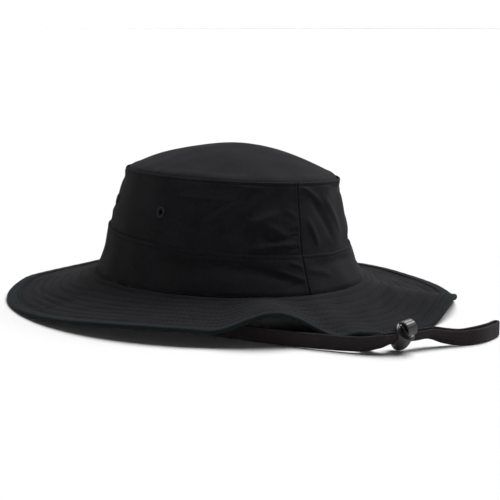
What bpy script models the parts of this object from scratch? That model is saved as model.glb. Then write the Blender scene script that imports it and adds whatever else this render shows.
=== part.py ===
"""Wide-brimmed cloth bucket hat with a chin strap and a spring cord lock.

Metres, +Z up. The hat stands on z = 0 on the low places of its brim, its front
towards -Y and its back seam towards +Y, and the middle of the head oval is on
the Z axis. Angles "around" the hat are the parameter of its ovals: 0 at the
left side (+X), 90 at the back (+Y).
"""
import math

import bmesh
import bpy
from mathutils import Matrix, Vector

# ---------------------------------------------------------------- dimensions
# crown: each seam is an oval with a half width (X) and a half length (Y)
HEAD_HALF_WIDTH = 0.0861
HEAD_HALF_LENGTH = 0.1033
MID_HALF_WIDTH = 0.0765
MID_HALF_LENGTH = 0.0958
TOP_HALF_WIDTH = 0.0678
TOP_HALF_LENGTH = 0.0848

HEADLINE_HEIGHT = 0.0180  # the seam between crown and brim, above the surface
LOWER_BAND_HEIGHT = 0.0262
UPPER_BAND_HEIGHT = 0.0408
DOME_RISE = 0.0190
DOME_ROUNDNESS = 2.0  # exponent of the dome's profile
DOME_PEAK = (-0.0059, 0.0033)
MID_LEAN = (0.036, -0.034)  # rise of the seam per metre of X and of Y
TOP_LEAN = (0.046, 0.006)
MID_SHIFT = (0.0007, -0.0008)
TOP_SHIFT = (-0.0016, 0.0008)
BAND_LAP = 0.0030  # the lower band is lapped over the upper one by this much
LAP_STEP = 0.0011  # and stands out from it by this much

# brim
BRIM_REACH = 0.0606
BRIM_CAMBER = 0.9  # 0 is a straight slope, 1 comes in level at the edge
# where the edge is lifted: middle (degrees around), half width (degrees), lift
EDGE_LIFTS = (
    (45, 58, 0.0080),
    (69, 16, 0.0130),
    (90, 9, 0.0024),
    (131, 19, 0.0090),
    (195, 23, 0.0015),
    (262, 30, 0.0040),
    (312, 14, 0.0010),
)

# cloth, and the gap that pieces lying on each other keep
CLOTH = 0.0005
INTERLINING = 0.0005
BINDING = 0.0005
BINDING_WIDTH = 0.0075
BINDING_ROUNDING = 0.0005  # how far the tape's fold drops below its top face
GAP = 0.0003

# inside
SWEATBAND_WIDTH = 0.0320
SWEATBAND_THICKNESS = 0.0010
SEAM_TAPE_WIDTH = 0.0090
SEAM_TAPE = 0.0004
TOP_TAPE_GAP = 0.0015  # from the top seam down to its tape
TAPE_END_GAP = 0.0012  # between the top tape and the upright tapes
SWEATBAND_CLEAR = 0.0060  # from the sweatband up to the upright tapes

# ventilation eyelets
EYELET_RADIUS = 0.0036
EYELET_HOLE_RADIUS = 0.0015
EYELET_NECK_RADIUS = 0.0021
EYELET_STAND = 0.0008  # how far the stitching stands off the cloth
EYELET_BACK = 0.0005  # and off the inside of the cloth
EYELET_SLOPE = 0.0006  # width of the ring's sloped outer side
EYELET_LIP = 0.0004  # width and depth of its rounded inner edge
EYELET_BACK_INSET = 0.0003  # how much smaller the ring is on the inside
EYELET_UP_BAND = 0.48  # height on the upper band, as a fraction of the band
EYELET_BEHIND = 20.5  # degrees around, from the side towards the back
EYELET_BEFORE = -24.0

# chin strap
STRAP_WIDTH = 0.0090
STRAP_THICKNESS = 0.0014
STRAP_INSET = 0.0046  # from the lower band in to the middle of the strap's sewn ends
STRAP_ANCHOR_LENGTH = 0.0120
STRAP_ANCHOR_RISE = 0.0040  # above the headline, where it is sewn in
STRAP_STEP = 0.0085  # spacing of the points along the strap
STRAP_LIFT = 0.0004  # what a resting stretch keeps to the surface

# cord lock: local Z is the way the plunger is pressed out, local X the way the strap runs
LOCK_PLACE = (-0.0030, 0.1962)  # middle of the strap's slot, seen from above
LOCK_LIFT = 0.00017  # what the lock keeps to the surface
LOCK_HEADING = 181.0  # way of the strap through the lock, degrees from +X
LOCK_ROLL = 44.0  # lean of the lock about the strap
LOCK_END_WALL = 0.0026  # between the plunger's channel and the lock's ends along the strap
LOCK_SIDE_WALL = 0.00255
LOCK_CROWN = 0.0015  # how far the rounded body would rise above its cut rim
LOCK_BULGE = 3.0  # exponent of the rounded shape: 2 is an ellipsoid
LOCK_FLOOR = 0.0014
STRAP_SLOT_CLEARANCE = 0.0004
LAYER_SPACE = 0.0019  # between the middles of the two strap layers
LOCK_MOUTH = 0.0065  # the strap runs straight from this far before the lock's middle
LOCK_RUN = 0.0125  # to this far beyond it, where the lock slides
PLUNGER_TRAVEL = 0.0018
PLUNGER_FOOT = 0.0009
PLUNGER_LEG = 0.0013
PLUNGER_HALF_DEPTH = 0.0021
PLUNGER_CLEARANCE = 0.0003
BRIDGE = 0.0008
BRIDGE_HOLD = 0.0006  # how far the bridge reaches into the body at each end
CAP_HALF_DEPTH = 0.0034
CAP_OVERHANG = 0.00145  # from the legs' outside to the thumb piece's side
CAP_THICKNESS = 0.0022
SPRING_WIRE_RADIUS = 0.00018
SPRING_RADIUS = 0.0014
SPRING_TURNS = 3.5
SPRING_WELL = 0.0011  # depth of the spring's seat in the cap
SPRING_CLEARANCE = 0.0001

AROUND = 72  # steps around the whole hat


# ------------------------------------------------------------------- helpers
def clear_scene():
    for old in list(bpy.data.objects):
        bpy.data.objects.remove(old, do_unlink=True)


def new_collection(name):
    made = bpy.data.collections.new(name)
    bpy.context.scene.collection.children.link(made)
    return made


def material(name, colour, roughness, metallic=0.0):
    made = bpy.data.materials.new(name)
    made.use_nodes = True
    shader = made.node_tree.nodes["Principled BSDF"]
    shader.inputs["Base Color"].default_value = (*colour, 1.0)
    shader.inputs["Roughness"].default_value = roughness
    shader.inputs["Metallic"].default_value = metallic
    return made


def add_object(name, data, finish, where):
    made = bpy.data.objects.new(name, data)
    where.objects.link(made)
    if finish is not None:
        data.materials.append(finish)
    return made


def smooth(data, angle=35.0):
    data.shade_smooth()
    data.set_sharp_from_angle(angle=math.radians(angle))


def sheet(name, rows, closed, finish, where, pole=False):
    """An open surface through rows of points.

    Closed joins each row's ends, and pole makes the last row one point.
    """
    shape = bmesh.new()
    grid = [[shape.verts.new(p) for p in row] for row in rows]
    if pole:
        grid[-1] = [grid[-1][0]] * len(grid[0])
    for low, high in zip(grid, grid[1:]):
        count = len(low)
        for i in range(count if closed else count - 1):
            j = (i + 1) % count
            corners = [low[i], low[j], high[j], high[i]]
            shape.faces.new(list(dict.fromkeys(corners)))
    for loose in [v for v in shape.verts if not v.link_faces]:
        shape.verts.remove(loose)
    data = bpy.data.meshes.new(name)
    shape.to_mesh(data)
    shape.free()
    smooth(data)
    return add_object(name, data, finish, where)


def thicken(target, thickness):
    """Cloth of this thickness, half of it on each side of the surface."""
    made = target.modifiers.new("thickness", "SOLIDIFY")
    made.thickness = thickness
    made.offset = 0.0
    made.use_even_offset = True
    return target


def boolean(target, other, operation):
    made = target.modifiers.new(operation.lower() + "_" + other.name, "BOOLEAN")
    made.operation = operation
    made.object = other
    made.solver = "EXACT"


def as_cutter(other):
    other.hide_render = True
    other.display_type = "WIRE"
    return other


def mesh_from(name, shape, finish, where):
    data = bpy.data.meshes.new(name)
    bmesh.ops.recalc_face_normals(shape, faces=shape.faces)
    shape.to_mesh(data)
    shape.free()
    smooth(data)
    return add_object(name, data, finish, where)


def block(name, low, high, finish, where):
    """A box between two corners."""
    low, high = Vector(low), Vector(high)
    place = Matrix.Translation((low + high) / 2) @ Matrix.Diagonal((*(high - low), 1.0))
    shape = bmesh.new()
    bmesh.ops.create_cube(shape, size=1.0, matrix=place)
    return mesh_from(name, shape, finish, where)


def turned(name, profile, steps, finish, where):
    """A profile of (radius, height) turned about local Z."""
    data = bpy.data.meshes.new(name)
    count = len(profile)
    data.from_pydata(
        [(radius, 0.0, height) for radius, height in profile],
        [(i, (i + 1) % count) for i in range(count)],
        [],
    )
    made = add_object(name, data, finish, where)
    screw = made.modifiers.new("turn", "SCREW")
    screw.steps = steps
    screw.render_steps = steps
    screw.use_merge_vertices = True
    screw.merge_threshold = 0.00001
    screw.use_normal_calculate = True
    screw.use_normal_flip = True
    return made


# ------------------------------------------------------------- the hat's form
def oval(around, half_width, half_length, shift=(0.0, 0.0)):
    t = math.radians(around)
    return shift[0] + half_width * math.cos(t), shift[1] + half_length * math.sin(t)


def seam_point(seam, around, inset=0.0, lift=0.0):
    """A point on one of the crown's three seams, moved in and up."""
    half_width, half_length, height, lean, shift = SEAMS[seam]
    x, y = oval(around, half_width - inset, half_length - inset, shift)
    return Vector((x, y, height + lean[0] * x + lean[1] * y + lift))


def band_point(low_seam, high_seam, around, up, inset=0.0):
    """A point on a crown band, up from 0 at its lower seam to 1 at its upper one."""
    low = seam_point(low_seam, around, inset)
    return low.lerp(seam_point(high_seam, around, inset), up)


def band_rows(low_seam, high_seam, angles, heights, inset=0.0):
    """Rows of points at heights given as (fraction up the band, metres added)."""
    rows = []
    for up, added in heights:
        raised = Vector((0.0, 0.0, added))
        rows.append([band_point(low_seam, high_seam, a, up, inset) + raised for a in angles])
    return rows


def edge_lift(around):
    """Height of the brim's lowest edge: nothing where it rests on the surface."""
    lift = 0.0
    for middle, half_width, height in EDGE_LIFTS:
        off = (around - middle + 180.0) % 360.0 - 180.0
        if abs(off) < half_width:
            lift += height * math.cos(math.pi / 2 * off / half_width) ** 2
    return lift


def brim_oval(around, out):
    return oval(around, HEAD_HALF_WIDTH + BRIM_REACH * out, HEAD_HALF_LENGTH + BRIM_REACH * out)


def brim_point(around, out, below=0.0):
    """A point on the middle of the brim's top cloth: out is 0 at the crown and 1 at the edge."""
    x, y = brim_oval(around, out)
    edge = edge_lift(around) + EDGE_STACK
    fall = out + BRIM_CAMBER * out * (1.0 - out)
    return Vector((x, y, HEADLINE_HEIGHT + (edge - HEADLINE_HEIGHT) * fall - below))


MID_HEIGHT = HEADLINE_HEIGHT + LOWER_BAND_HEIGHT
TOP_HEIGHT = MID_HEIGHT + UPPER_BAND_HEIGHT
SEAMS = {
    "head": (HEAD_HALF_WIDTH, HEAD_HALF_LENGTH, HEADLINE_HEIGHT, (0.0, 0.0), (0.0, 0.0)),
    "mid": (MID_HALF_WIDTH, MID_HALF_LENGTH, MID_HEIGHT, MID_LEAN, MID_SHIFT),
    "top": (TOP_HALF_WIDTH, TOP_HALF_LENGTH, TOP_HEIGHT, TOP_LEAN, TOP_SHIFT),
}
# from the middle of the top cloth down to the other layers' middles
INTERLINING_BELOW = CLOTH / 2 + GAP + INTERLINING / 2
UNDERSIDE_BELOW = CLOTH / 2 + GAP + INTERLINING + GAP + CLOTH / 2
# from the surface up to the middle of the top cloth at the edge
EDGE_STACK = BINDING + GAP + CLOTH / 2 + UNDERSIDE_BELOW

ROUND = [360.0 * i / AROUND for i in range(AROUND)]
SEAM_SLIT = 0.12  # degrees left open on each side of the front and back seams
LEFT_HALF = [-90 + SEAM_SLIT] + [-85.0 + 5 * i for i in range(35)] + [90 - SEAM_SLIT]
RIGHT_HALF = [a + 180 for a in LEFT_HALF]

clear_scene()
HAT = new_collection("bucket_hat")
CUTTERS = new_collection("cutters")
TWILL = material("black_cotton_twill", (0.012, 0.012, 0.014), 0.85)
BRIM_TWILL = material("brim_twill", (0.011, 0.012, 0.014), 0.85)
BIAS = material("bias_binding", (0.010, 0.013, 0.016), 0.75)
STIFFENER = material("brim_interlining", (0.55, 0.55, 0.52), 0.9)
SWEAT = material("sweatband_cloth", (0.014, 0.014, 0.016), 0.9)
THREAD = material("embroidery_thread", (0.018, 0.019, 0.022), 0.6)
BRAID = material("braided_tape", (0.020, 0.017, 0.017), 0.9)
PLASTIC = material("moulded_plastic", (0.020, 0.021, 0.023), 0.4)
STEEL = material("spring_steel", (0.55, 0.55, 0.56), 0.35, 1.0)


# ------------------------------------------------------------------- crown
def build_top_panel():
    """The domed oval, highest in the middle and sloping at its seam."""
    rows = []
    for out in (1.0, 0.86, 0.68, 0.46, 0.22):
        row = []
        for around in ROUND:
            rim = seam_point("top", around)
            middle = Vector((*DOME_PEAK, TOP_HEIGHT))
            point = middle.lerp(rim, out)
            point.z += CLOTH + GAP / 2 + DOME_RISE * (1.0 - out**DOME_ROUNDNESS)
            row.append(point)
        rows.append(row)
    rows.append([Vector((*DOME_PEAK, TOP_HEIGHT + CLOTH + GAP / 2 + DOME_RISE))] * AROUND)
    thicken(sheet("top_panel", rows, True, TWILL, HAT, pole=True), CLOTH)


def build_bands():
    """Two bands in two halves each. The lower one is lapped over the upper one."""
    hem = 1.0 - BAND_LAP / LOWER_BAND_HEIGHT
    upper = [(0.0, 0.0), (0.35, 0.0), (0.7, 0.0), (1.0, -CLOTH / 2)]
    lower = [(0.0, CLOTH / 2 + GAP), (0.5, 0.0), (1.0, 0.0)]
    for side, angles in (("left", LEFT_HALF), ("right", RIGHT_HALF)):
        rows = band_rows("head", "mid", angles, [(hem, 0.0)], LAP_STEP)
        rows += band_rows("mid", "top", angles, upper, LAP_STEP)
        thicken(sheet("upper_band_" + side, rows, False, TWILL, HAT), CLOTH)
        rows = band_rows("head", "mid", angles, lower)
        thicken(sheet("lower_band_" + side, rows, False, TWILL, HAT), CLOTH)


def build_sweatband():
    """A soft band inside the headline, clear of the upper band's tucked-in hem."""
    inset = LAP_STEP + CLOTH + 2 * GAP + SWEATBAND_THICKNESS / 2
    above_mid = (SWEATBAND_WIDTH - LOWER_BAND_HEIGHT) / UPPER_BAND_HEIGHT
    rows = band_rows("head", "mid", ROUND, [(0.0, CLOTH), (0.5, 0.0), (1.0, 0.0)], inset)
    rows += band_rows("mid", "top", ROUND, [(above_mid, 0.0)], inset)
    thicken(sheet("sweatband", rows, True, SWEAT, HAT), SWEATBAND_THICKNESS)


def build_seam_tapes():
    """Tape over the top seam, and down the front and back seams to the sweatband."""
    inset = LAP_STEP + CLOTH / 2 + GAP + SEAM_TAPE / 2
    low = 1.0 - (SEAM_TAPE_WIDTH + TOP_TAPE_GAP) / UPPER_BAND_HEIGHT
    high = 1.0 - TOP_TAPE_GAP / UPPER_BAND_HEIGHT
    rows = band_rows("mid", "top", ROUND, [(low, 0.0), (high, 0.0)], inset)
    thicken(sheet("top_seam_tape", rows, True, SWEAT, HAT), SEAM_TAPE)
    above_sweatband = (SWEATBAND_WIDTH - LOWER_BAND_HEIGHT + SWEATBAND_CLEAR) / UPPER_BAND_HEIGHT
    below_top_tape = low - TAPE_END_GAP / UPPER_BAND_HEIGHT
    half_angle = math.degrees(SEAM_TAPE_WIDTH / 2 / MID_HALF_WIDTH)
    for name, middle in (("front_seam_tape", -90.0), ("back_seam_tape", 90.0)):
        angles = [middle + half_angle * k for k in (-1.0, 0.0, 1.0)]
        heights = [(above_sweatband, 0.0), (0.45, 0.0), (below_top_tape, 0.0)]
        rows = band_rows("mid", "top", angles, heights, inset)
        thicken(sheet(name, rows, False, SWEAT, HAT), SEAM_TAPE)


def eyelet_frame(around):
    """Where an eyelet sits: local Z points out of the band."""
    here = band_point("mid", "top", around, EYELET_UP_BAND, LAP_STEP)
    along = band_point("mid", "top", around + 1, EYELET_UP_BAND, LAP_STEP) - here
    up = band_point("mid", "top", around, EYELET_UP_BAND + 0.1, LAP_STEP) - here
    out = along.cross(up).normalized()
    along.normalize()
    turn = Matrix((along, out.cross(along), out)).transposed().to_4x4()
    return Matrix.Translation(here) @ turn


def build_eyelets():
    """Satin-stitched rings whose necks pass through holes in the upper band."""
    face = CLOTH / 2 + GAP
    stand = face + EYELET_STAND
    back = -face - EYELET_BACK
    profile = [
        (EYELET_HOLE_RADIUS + EYELET_LIP, stand),
        (EYELET_RADIUS - EYELET_SLOPE, stand),
        (EYELET_RADIUS, face),
        (EYELET_NECK_RADIUS, face),
        (EYELET_NECK_RADIUS, -face),
        (EYELET_RADIUS - EYELET_BACK_INSET, -face),
        (EYELET_RADIUS - EYELET_BACK_INSET - EYELET_BACK, back),
        (EYELET_HOLE_RADIUS, back),
        (EYELET_HOLE_RADIUS, stand - EYELET_LIP),
    ]
    places = {
        "eyelet_left_back": ("left", EYELET_BEHIND),
        "eyelet_left_front": ("left", EYELET_BEFORE),
        "eyelet_right_back": ("right", 180 - EYELET_BEHIND),
        "eyelet_right_front": ("right", 180 - EYELET_BEFORE),
    }
    for name, (side, around) in places.items():
        frame = eyelet_frame(around)
        ring = turned(name, profile, 16, THREAD, HAT)
        ring.matrix_world = frame
        shape = bmesh.new()
        radius = EYELET_NECK_RADIUS + GAP
        sizes = {"radius1": radius, "radius2": radius, "depth": 4 * stand}
        bmesh.ops.create_cone(shape, cap_ends=True, segments=16, **sizes)
        hole = as_cutter(mesh_from("hole_for_" + name, shape, None, CUTTERS))
        hole.matrix_world = frame
        boolean(bpy.data.objects["upper_band_" + side], hole, "DIFFERENCE")


# -------------------------------------------------------------------- brim
def build_brim():
    """Top cloth, stiffener and underside cloth, and the tape bound round their edge."""
    steps = (-CLOTH / BRIM_REACH, 0.25, 0.5, 0.75, 1.0)
    layers = (
        ("brim_top", BRIM_TWILL, CLOTH, 0.0),
        ("brim_interlining", STIFFENER, INTERLINING, INTERLINING_BELOW),
        ("brim_underside", BRIM_TWILL, CLOTH, UNDERSIDE_BELOW),
    )
    for name, finish, thickness, below in layers:
        rows = [[brim_point(a, out, below) for a in ROUND] for out in reversed(steps)]
        thicken(sheet(name, rows, True, finish, HAT), thickness)


def build_binding():
    """A tape folded over the edge, level underneath where the brim rests."""
    inner = 1.0 - BINDING_WIDTH / BRIM_REACH
    outer = 1.0 + (GAP + BINDING / 2) / BRIM_REACH
    above = CLOTH / 2 + GAP + BINDING / 2
    rows = []
    folded = [(inner, True), (1.0, True), (outer, True), (outer, False), (1.0, False), (inner, False)]
    for out, over in folded:
        row = []
        for around in ROUND:
            point = brim_point(around, min(out, 1.0))
            x, y = brim_oval(around, out)
            rounding = BINDING_ROUNDING if out > 1.0 else 0.0
            if over:
                height = point.z + above - rounding
            else:
                height = edge_lift(around) + BINDING / 2
            row.append(Vector((x, y, height)))
        rows.append(row)
    rows.reverse()
    thicken(sheet("edge_binding", rows, True, BIAS, HAT), BINDING)


# --------------------------------------------------------- cord lock sizes
SLOT_HALF_HEIGHT = STRAP_WIDTH / 2 + STRAP_SLOT_CLEARANCE
SLOT_HALF_WIDTH = LAYER_SPACE / 2 + STRAP_THICKNESS / 2 + STRAP_SLOT_CLEARANCE
LEG_OUTSIDE = SLOT_HALF_WIDTH + PLUNGER_LEG
FOOT_LOW = -SLOT_HALF_HEIGHT - PLUNGER_FOOT
CHANNEL_FLOOR = FOOT_LOW - PLUNGER_TRAVEL - PLUNGER_CLEARANCE
BULB_LOW = CHANNEL_FLOOR - LOCK_FLOOR
RIM = SLOT_HALF_HEIGHT + BRIDGE
BULB_MIDDLE = (BULB_LOW + RIM + LOCK_CROWN) / 2
LOCK_HALF_DEPTH = PLUNGER_HALF_DEPTH + PLUNGER_CLEARANCE + LOCK_END_WALL
LOCK_HALF_WIDTH = LEG_OUTSIDE + PLUNGER_CLEARANCE + LOCK_SIDE_WALL
LOCK_HALF_HEIGHT = BULB_MIDDLE - BULB_LOW
CAP_LOW = RIM + PLUNGER_TRAVEL + PLUNGER_CLEARANCE
CAP_HALF_WIDTH = LEG_OUTSIDE + CAP_OVERHANG


def lock_rest_height():
    """Height of the slot's middle when the leaning, rounded body rests on the surface."""
    tip = math.radians(LOCK_ROLL)
    power = LOCK_BULGE / (LOCK_BULGE - 1)
    across = (LOCK_HALF_WIDTH * math.sin(tip)) ** power
    upright = (LOCK_HALF_HEIGHT * math.cos(tip)) ** power
    return (across + upright) ** (1 / power) - BULB_MIDDLE * math.cos(tip) + LOCK_LIFT


LOCK_CENTRE = (*LOCK_PLACE, lock_rest_height())


# ------------------------------------------------------------- chin strap
def resting(lean):
    """Height of the tape's middle when it rests on the surface, leaning this far from upright."""
    tip = math.radians(lean)
    return STRAP_WIDTH / 2 * math.cos(tip) + STRAP_THICKNESS / 2 * math.sin(tip) + STRAP_LIFT


# the lower band leans in over the height where the strap's ends are sewn in
BAND_LEAN_IN = (HEAD_HALF_WIDTH - MID_HALF_WIDTH + MID_SHIFT[0]) * STRAP_ANCHOR_RISE / LOWER_BAND_HEIGHT
STRAP_END_X = HEAD_HALF_WIDTH - BAND_LEAN_IN - STRAP_INSET
ON_EDGE = resting(0)
FLAT = resting(90)
# the route's own points: x, y, height, and lean to the right of travel in degrees
LEFT_LEG = (
    (STRAP_END_X, 0.0063, 0.0100, 0),
    (0.0818, 0.0260, 0.0085, 0),
    (0.0832, 0.0480, 0.0058, 0),
    (0.0800, 0.0720, ON_EDGE, 0),
    (0.0730, 0.0970, ON_EDGE, 0),
    (0.0618, 0.1230, ON_EDGE, 0),
    (0.0462, 0.1500, ON_EDGE, 0),
    (0.0310, 0.1720, ON_EDGE, 4),
    (0.0190, 0.1880, 0.0056, 14),
    (0.0100, 0.1958, 0.0076, 30),
)
# middle of the doubled tail beyond the lock: x, y, height, lean and space between the two layers
TAIL = (
    (-0.0240, 0.1958, LOCK_CENTRE[2], LOCK_ROLL, LAYER_SPACE),
    (-0.0330, 0.1975, 0.0066, 24, 0.0024),
    (-0.0430, 0.1992, ON_EDGE, 6, 0.0040),
    (-0.0560, 0.1988, ON_EDGE, 0, 0.0058),
    (-0.0690, 0.1942, ON_EDGE, 0, 0.0042),
    (-0.0770, 0.1896, ON_EDGE, 0, 0.0030),
)
RIGHT_LEG = (
    (-STRAP_END_X, 0.0063, 0.0100, 0),
    (-0.0812, 0.0260, 0.0085, 0),
    (-0.0818, 0.0480, 0.0060, 0),
    (-0.0780, 0.0700, ON_EDGE, 0),
    (-0.0690, 0.0880, resting(20), 20),
    (-0.0560, 0.1040, resting(60), 60),
    (-0.0400, 0.1200, FLAT, 90),
    (-0.0220, 0.1370, FLAT, 90),
    (-0.0060, 0.1545, FLAT, 90),
    (0.0060, 0.1710, 0.0014, 88),
    (0.0118, 0.1830, 0.0046, 70),
    (0.0098, 0.1918, 0.0082, 50),
)


def lock_matrix():
    heading = Matrix.Rotation(math.radians(LOCK_HEADING), 4, "Z")
    roll = Matrix.Rotation(math.radians(LOCK_ROLL), 4, "X")
    return Matrix.Translation(LOCK_CENTRE) @ heading @ roll


def beside(point, heading, lean, aside):
    """A point moved square to the tape's face, to the right of travel."""
    right = Vector((heading.y, -heading.x, 0.0)).normalized()
    tip = math.radians(lean)
    return Vector(point) + (right * math.cos(tip) - Vector((0, 0, 1)) * math.sin(tip)) * aside


def strap_route():
    """The whole loop: left leg, lock, one layer of the tail, its fold, the other layer, right leg."""
    heading = Matrix.Rotation(math.radians(LOCK_HEADING), 3, "Z") @ Vector((1, 0, 0))
    middle = []
    for along in (-LOCK_MOUTH, 0.0, LOCK_RUN):
        middle.append((*(Vector(LOCK_CENTRE) + heading * along), LOCK_ROLL, LAYER_SPACE))
    middle += list(TAIL)
    ways = []
    for i in range(len(middle)):
        before, after = middle[max(i - 1, 0)], middle[min(i + 1, len(middle) - 1)]
        way = Vector(after[:3]) - Vector(before[:3])
        ways.append(Vector((way.x, way.y, 0.0)).normalized())
    out_layer, back_layer = [], []
    for (x, y, z, lean, space), way in zip(middle, ways):
        out_layer.append((*beside((x, y, z), way, lean, space / 2), lean))
        back_layer.append((*beside((x, y, z), way, lean, -space / 2), -lean))
    end, way, radius = Vector(middle[-1][:3]), ways[-1], middle[-1][4] / 2
    right = Vector((way.y, -way.x, 0.0))
    fold = []
    for turn in (45, 90, 135):
        bend = math.radians(turn)
        fold.append((*(end + right * radius * math.cos(bend) + way * radius * math.sin(bend)), 0.0))
    right_leg = [(x, y, z, -lean) for x, y, z, lean in reversed(RIGHT_LEG)]
    return list(LEFT_LEG) + out_layer + fold + back_layer[::-1] + right_leg


def smooth_route(route, step):
    """Points a step or less apart on one smooth curve through the route's own points."""
    points = [Vector(p) for p in route]
    places = [0.0]
    for a, b in zip(points, points[1:]):
        places.append(places[-1] + (b.xyz - a.xyz).length)
    slopes = []
    for i in range(len(points)):
        low, high = max(i - 1, 0), min(i + 1, len(points) - 1)
        slopes.append((points[high] - points[low]) / (places[high] - places[low]))
    made = []
    for i in range(len(points) - 1):
        span = places[i + 1] - places[i]
        count = max(1, math.ceil(span / step))
        for k in range(count):
            t = k / count
            made.append(
                points[i] * (2 * t**3 - 3 * t**2 + 1)
                + slopes[i] * span * (t**3 - 2 * t**2 + t)
                + points[i + 1] * (3 * t**2 - 2 * t**3)
                + slopes[i + 1] * span * (t**3 - t**2)
            )
    return made + [points[-1]]


def build_strap():
    """One flat braided tape, standing on its edge wherever it has the room."""
    points = smooth_route(strap_route(), STRAP_STEP)
    data = bpy.data.curves.new("chin_strap", "CURVE")
    data.dimensions = "3D"
    data.twist_mode = "Z_UP"
    data.bevel_depth = STRAP_THICKNESS / 2
    data.bevel_resolution = 1
    data.extrude = STRAP_WIDTH / 2 - STRAP_THICKNESS / 2
    data.use_fill_caps = True
    spline = data.splines.new("POLY")
    spline.points.add(len(points) - 1)
    for place, point in zip(spline.points, points):
        place.co = (*point.xyz, 1.0)
        place.tilt = math.radians(point.w)
    add_object("chin_strap", data, BRAID, HAT)


def build_strap_anchors():
    """The strap's ends where they are sewn in at the headline, standing just behind its first points."""
    for side, (x, y, z, _) in (("left", LEFT_LEG[0]), ("right", RIGHT_LEG[0])):
        low = (x - STRAP_THICKNESS / 2, y - GAP - STRAP_ANCHOR_LENGTH, z - STRAP_WIDTH / 2)
        high = (x + STRAP_THICKNESS / 2, y - GAP, HEADLINE_HEIGHT + STRAP_ANCHOR_RISE)
        block("strap_anchor_" + side, low, high, BRAID, HAT)


# --------------------------------------------------------------- cord lock
def bulge(name, half_sizes, middle, segments, rings, finish, where):
    """A rounded block: a sphere swollen towards the corners of its box."""
    shape = bmesh.new()
    bmesh.ops.create_uvsphere(shape, u_segments=segments, v_segments=rings, radius=1.0)
    for vertex in shape.verts:
        reach = sum(abs(c) ** LOCK_BULGE for c in vertex.co) ** (-1 / LOCK_BULGE)
        swollen = [c * reach * half for c, half in zip(vertex.co, half_sizes)]
        vertex.co = Vector(swollen) + Vector((0.0, 0.0, middle))
    return mesh_from(name, shape, finish, where)


def build_cord_lock():
    frame = bpy.data.objects.new("cord_lock_frame", None)
    HAT.objects.link(frame)
    frame.matrix_world = lock_matrix()
    pieces = [frame]

    def cutter(name, low, high):
        made = as_cutter(block(name, low, high, None, CUTTERS))
        pieces.append(made)
        return made

    far = 2 * LOCK_HALF_HEIGHT
    half_sizes = (LOCK_HALF_DEPTH, LOCK_HALF_WIDTH, LOCK_HALF_HEIGHT)
    body = bulge("cord_lock_body", half_sizes, BULB_MIDDLE, 24, 14, PLASTIC, HAT)
    room = PLUNGER_HALF_DEPTH + PLUNGER_CLEARANCE
    side = LEG_OUTSIDE + PLUNGER_CLEARANCE
    boolean(body, cutter("above_rim", (-far, -far, RIM), (far, far, far)), "DIFFERENCE")
    boolean(body, cutter("channel", (-room, -side, CHANNEL_FLOOR), (room, side, far)), "DIFFERENCE")
    slot = (far, SLOT_HALF_WIDTH, SLOT_HALF_HEIGHT)
    boolean(body, cutter("slot", [-c for c in slot], slot), "DIFFERENCE")
    bridge = (room + BRIDGE_HOLD, SLOT_HALF_WIDTH - PLUNGER_CLEARANCE)
    low, high = (-bridge[0], -bridge[1], SLOT_HALF_HEIGHT), (bridge[0], bridge[1], RIM)
    boolean(body, cutter("bridge", low, high), "UNION")

    half_sizes = (CAP_HALF_DEPTH, CAP_HALF_WIDTH, CAP_THICKNESS)
    cap = bulge("cord_lock_plunger", half_sizes, CAP_LOW, 20, 10, PLASTIC, HAT)
    boolean(cap, cutter("under_cap", (-far, -far, -far), (far, far, CAP_LOW)), "DIFFERENCE")
    deep = PLUNGER_HALF_DEPTH
    for name, sign in (("left_leg", 1), ("right_leg", -1)):
        inside, outside = sorted((sign * SLOT_HALF_WIDTH, sign * LEG_OUTSIDE))
        low, high = (-deep, inside, FOOT_LOW), (deep, outside, CAP_LOW + CAP_THICKNESS / 3)
        boolean(cap, cutter(name, low, high), "UNION")
    low, high = (-deep, -LEG_OUTSIDE, FOOT_LOW), (deep, LEG_OUTSIDE, FOOT_LOW + PLUNGER_FOOT)
    boolean(cap, cutter("foot", low, high), "UNION")
    shape = bmesh.new()
    well_radius = SPRING_RADIUS + SPRING_WIRE_RADIUS + PLUNGER_CLEARANCE
    place = Matrix.Translation((0, 0, CAP_LOW))
    sizes = {"radius1": well_radius, "radius2": well_radius, "depth": 2 * SPRING_WELL}
    bmesh.ops.create_cone(shape, cap_ends=True, segments=16, matrix=place, **sizes)
    well = as_cutter(mesh_from("spring_well", shape, None, CUTTERS))
    boolean(cap, well, "DIFFERENCE")

    seat = SPRING_WIRE_RADIUS + SPRING_CLEARANCE
    low, high = RIM + seat, CAP_LOW + SPRING_WELL - seat
    data = bpy.data.curves.new("cord_lock_spring", "CURVE")
    data.dimensions = "3D"
    data.bevel_depth = SPRING_WIRE_RADIUS
    data.bevel_resolution = 1
    data.use_fill_caps = True
    steps = int(SPRING_TURNS * 12)
    spline = data.splines.new("POLY")
    spline.points.add(steps)
    for k, place in enumerate(spline.points):
        turn = 2 * math.pi * SPRING_TURNS * k / steps
        height = low + (high - low) * k / steps
        place.co = (SPRING_RADIUS * math.cos(turn), SPRING_RADIUS * math.sin(turn), height, 1.0)
    spring = add_object("cord_lock_spring", data, STEEL, HAT)

    pieces += [body, cap, well, spring]
    for piece in pieces[1:]:
        piece.parent = frame


build_top_panel()
build_bands()
build_sweatband()
build_seam_tapes()
build_eyelets()
build_brim()
build_binding()
build_strap()
build_strap_anchors()
build_cord_lock()
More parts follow.
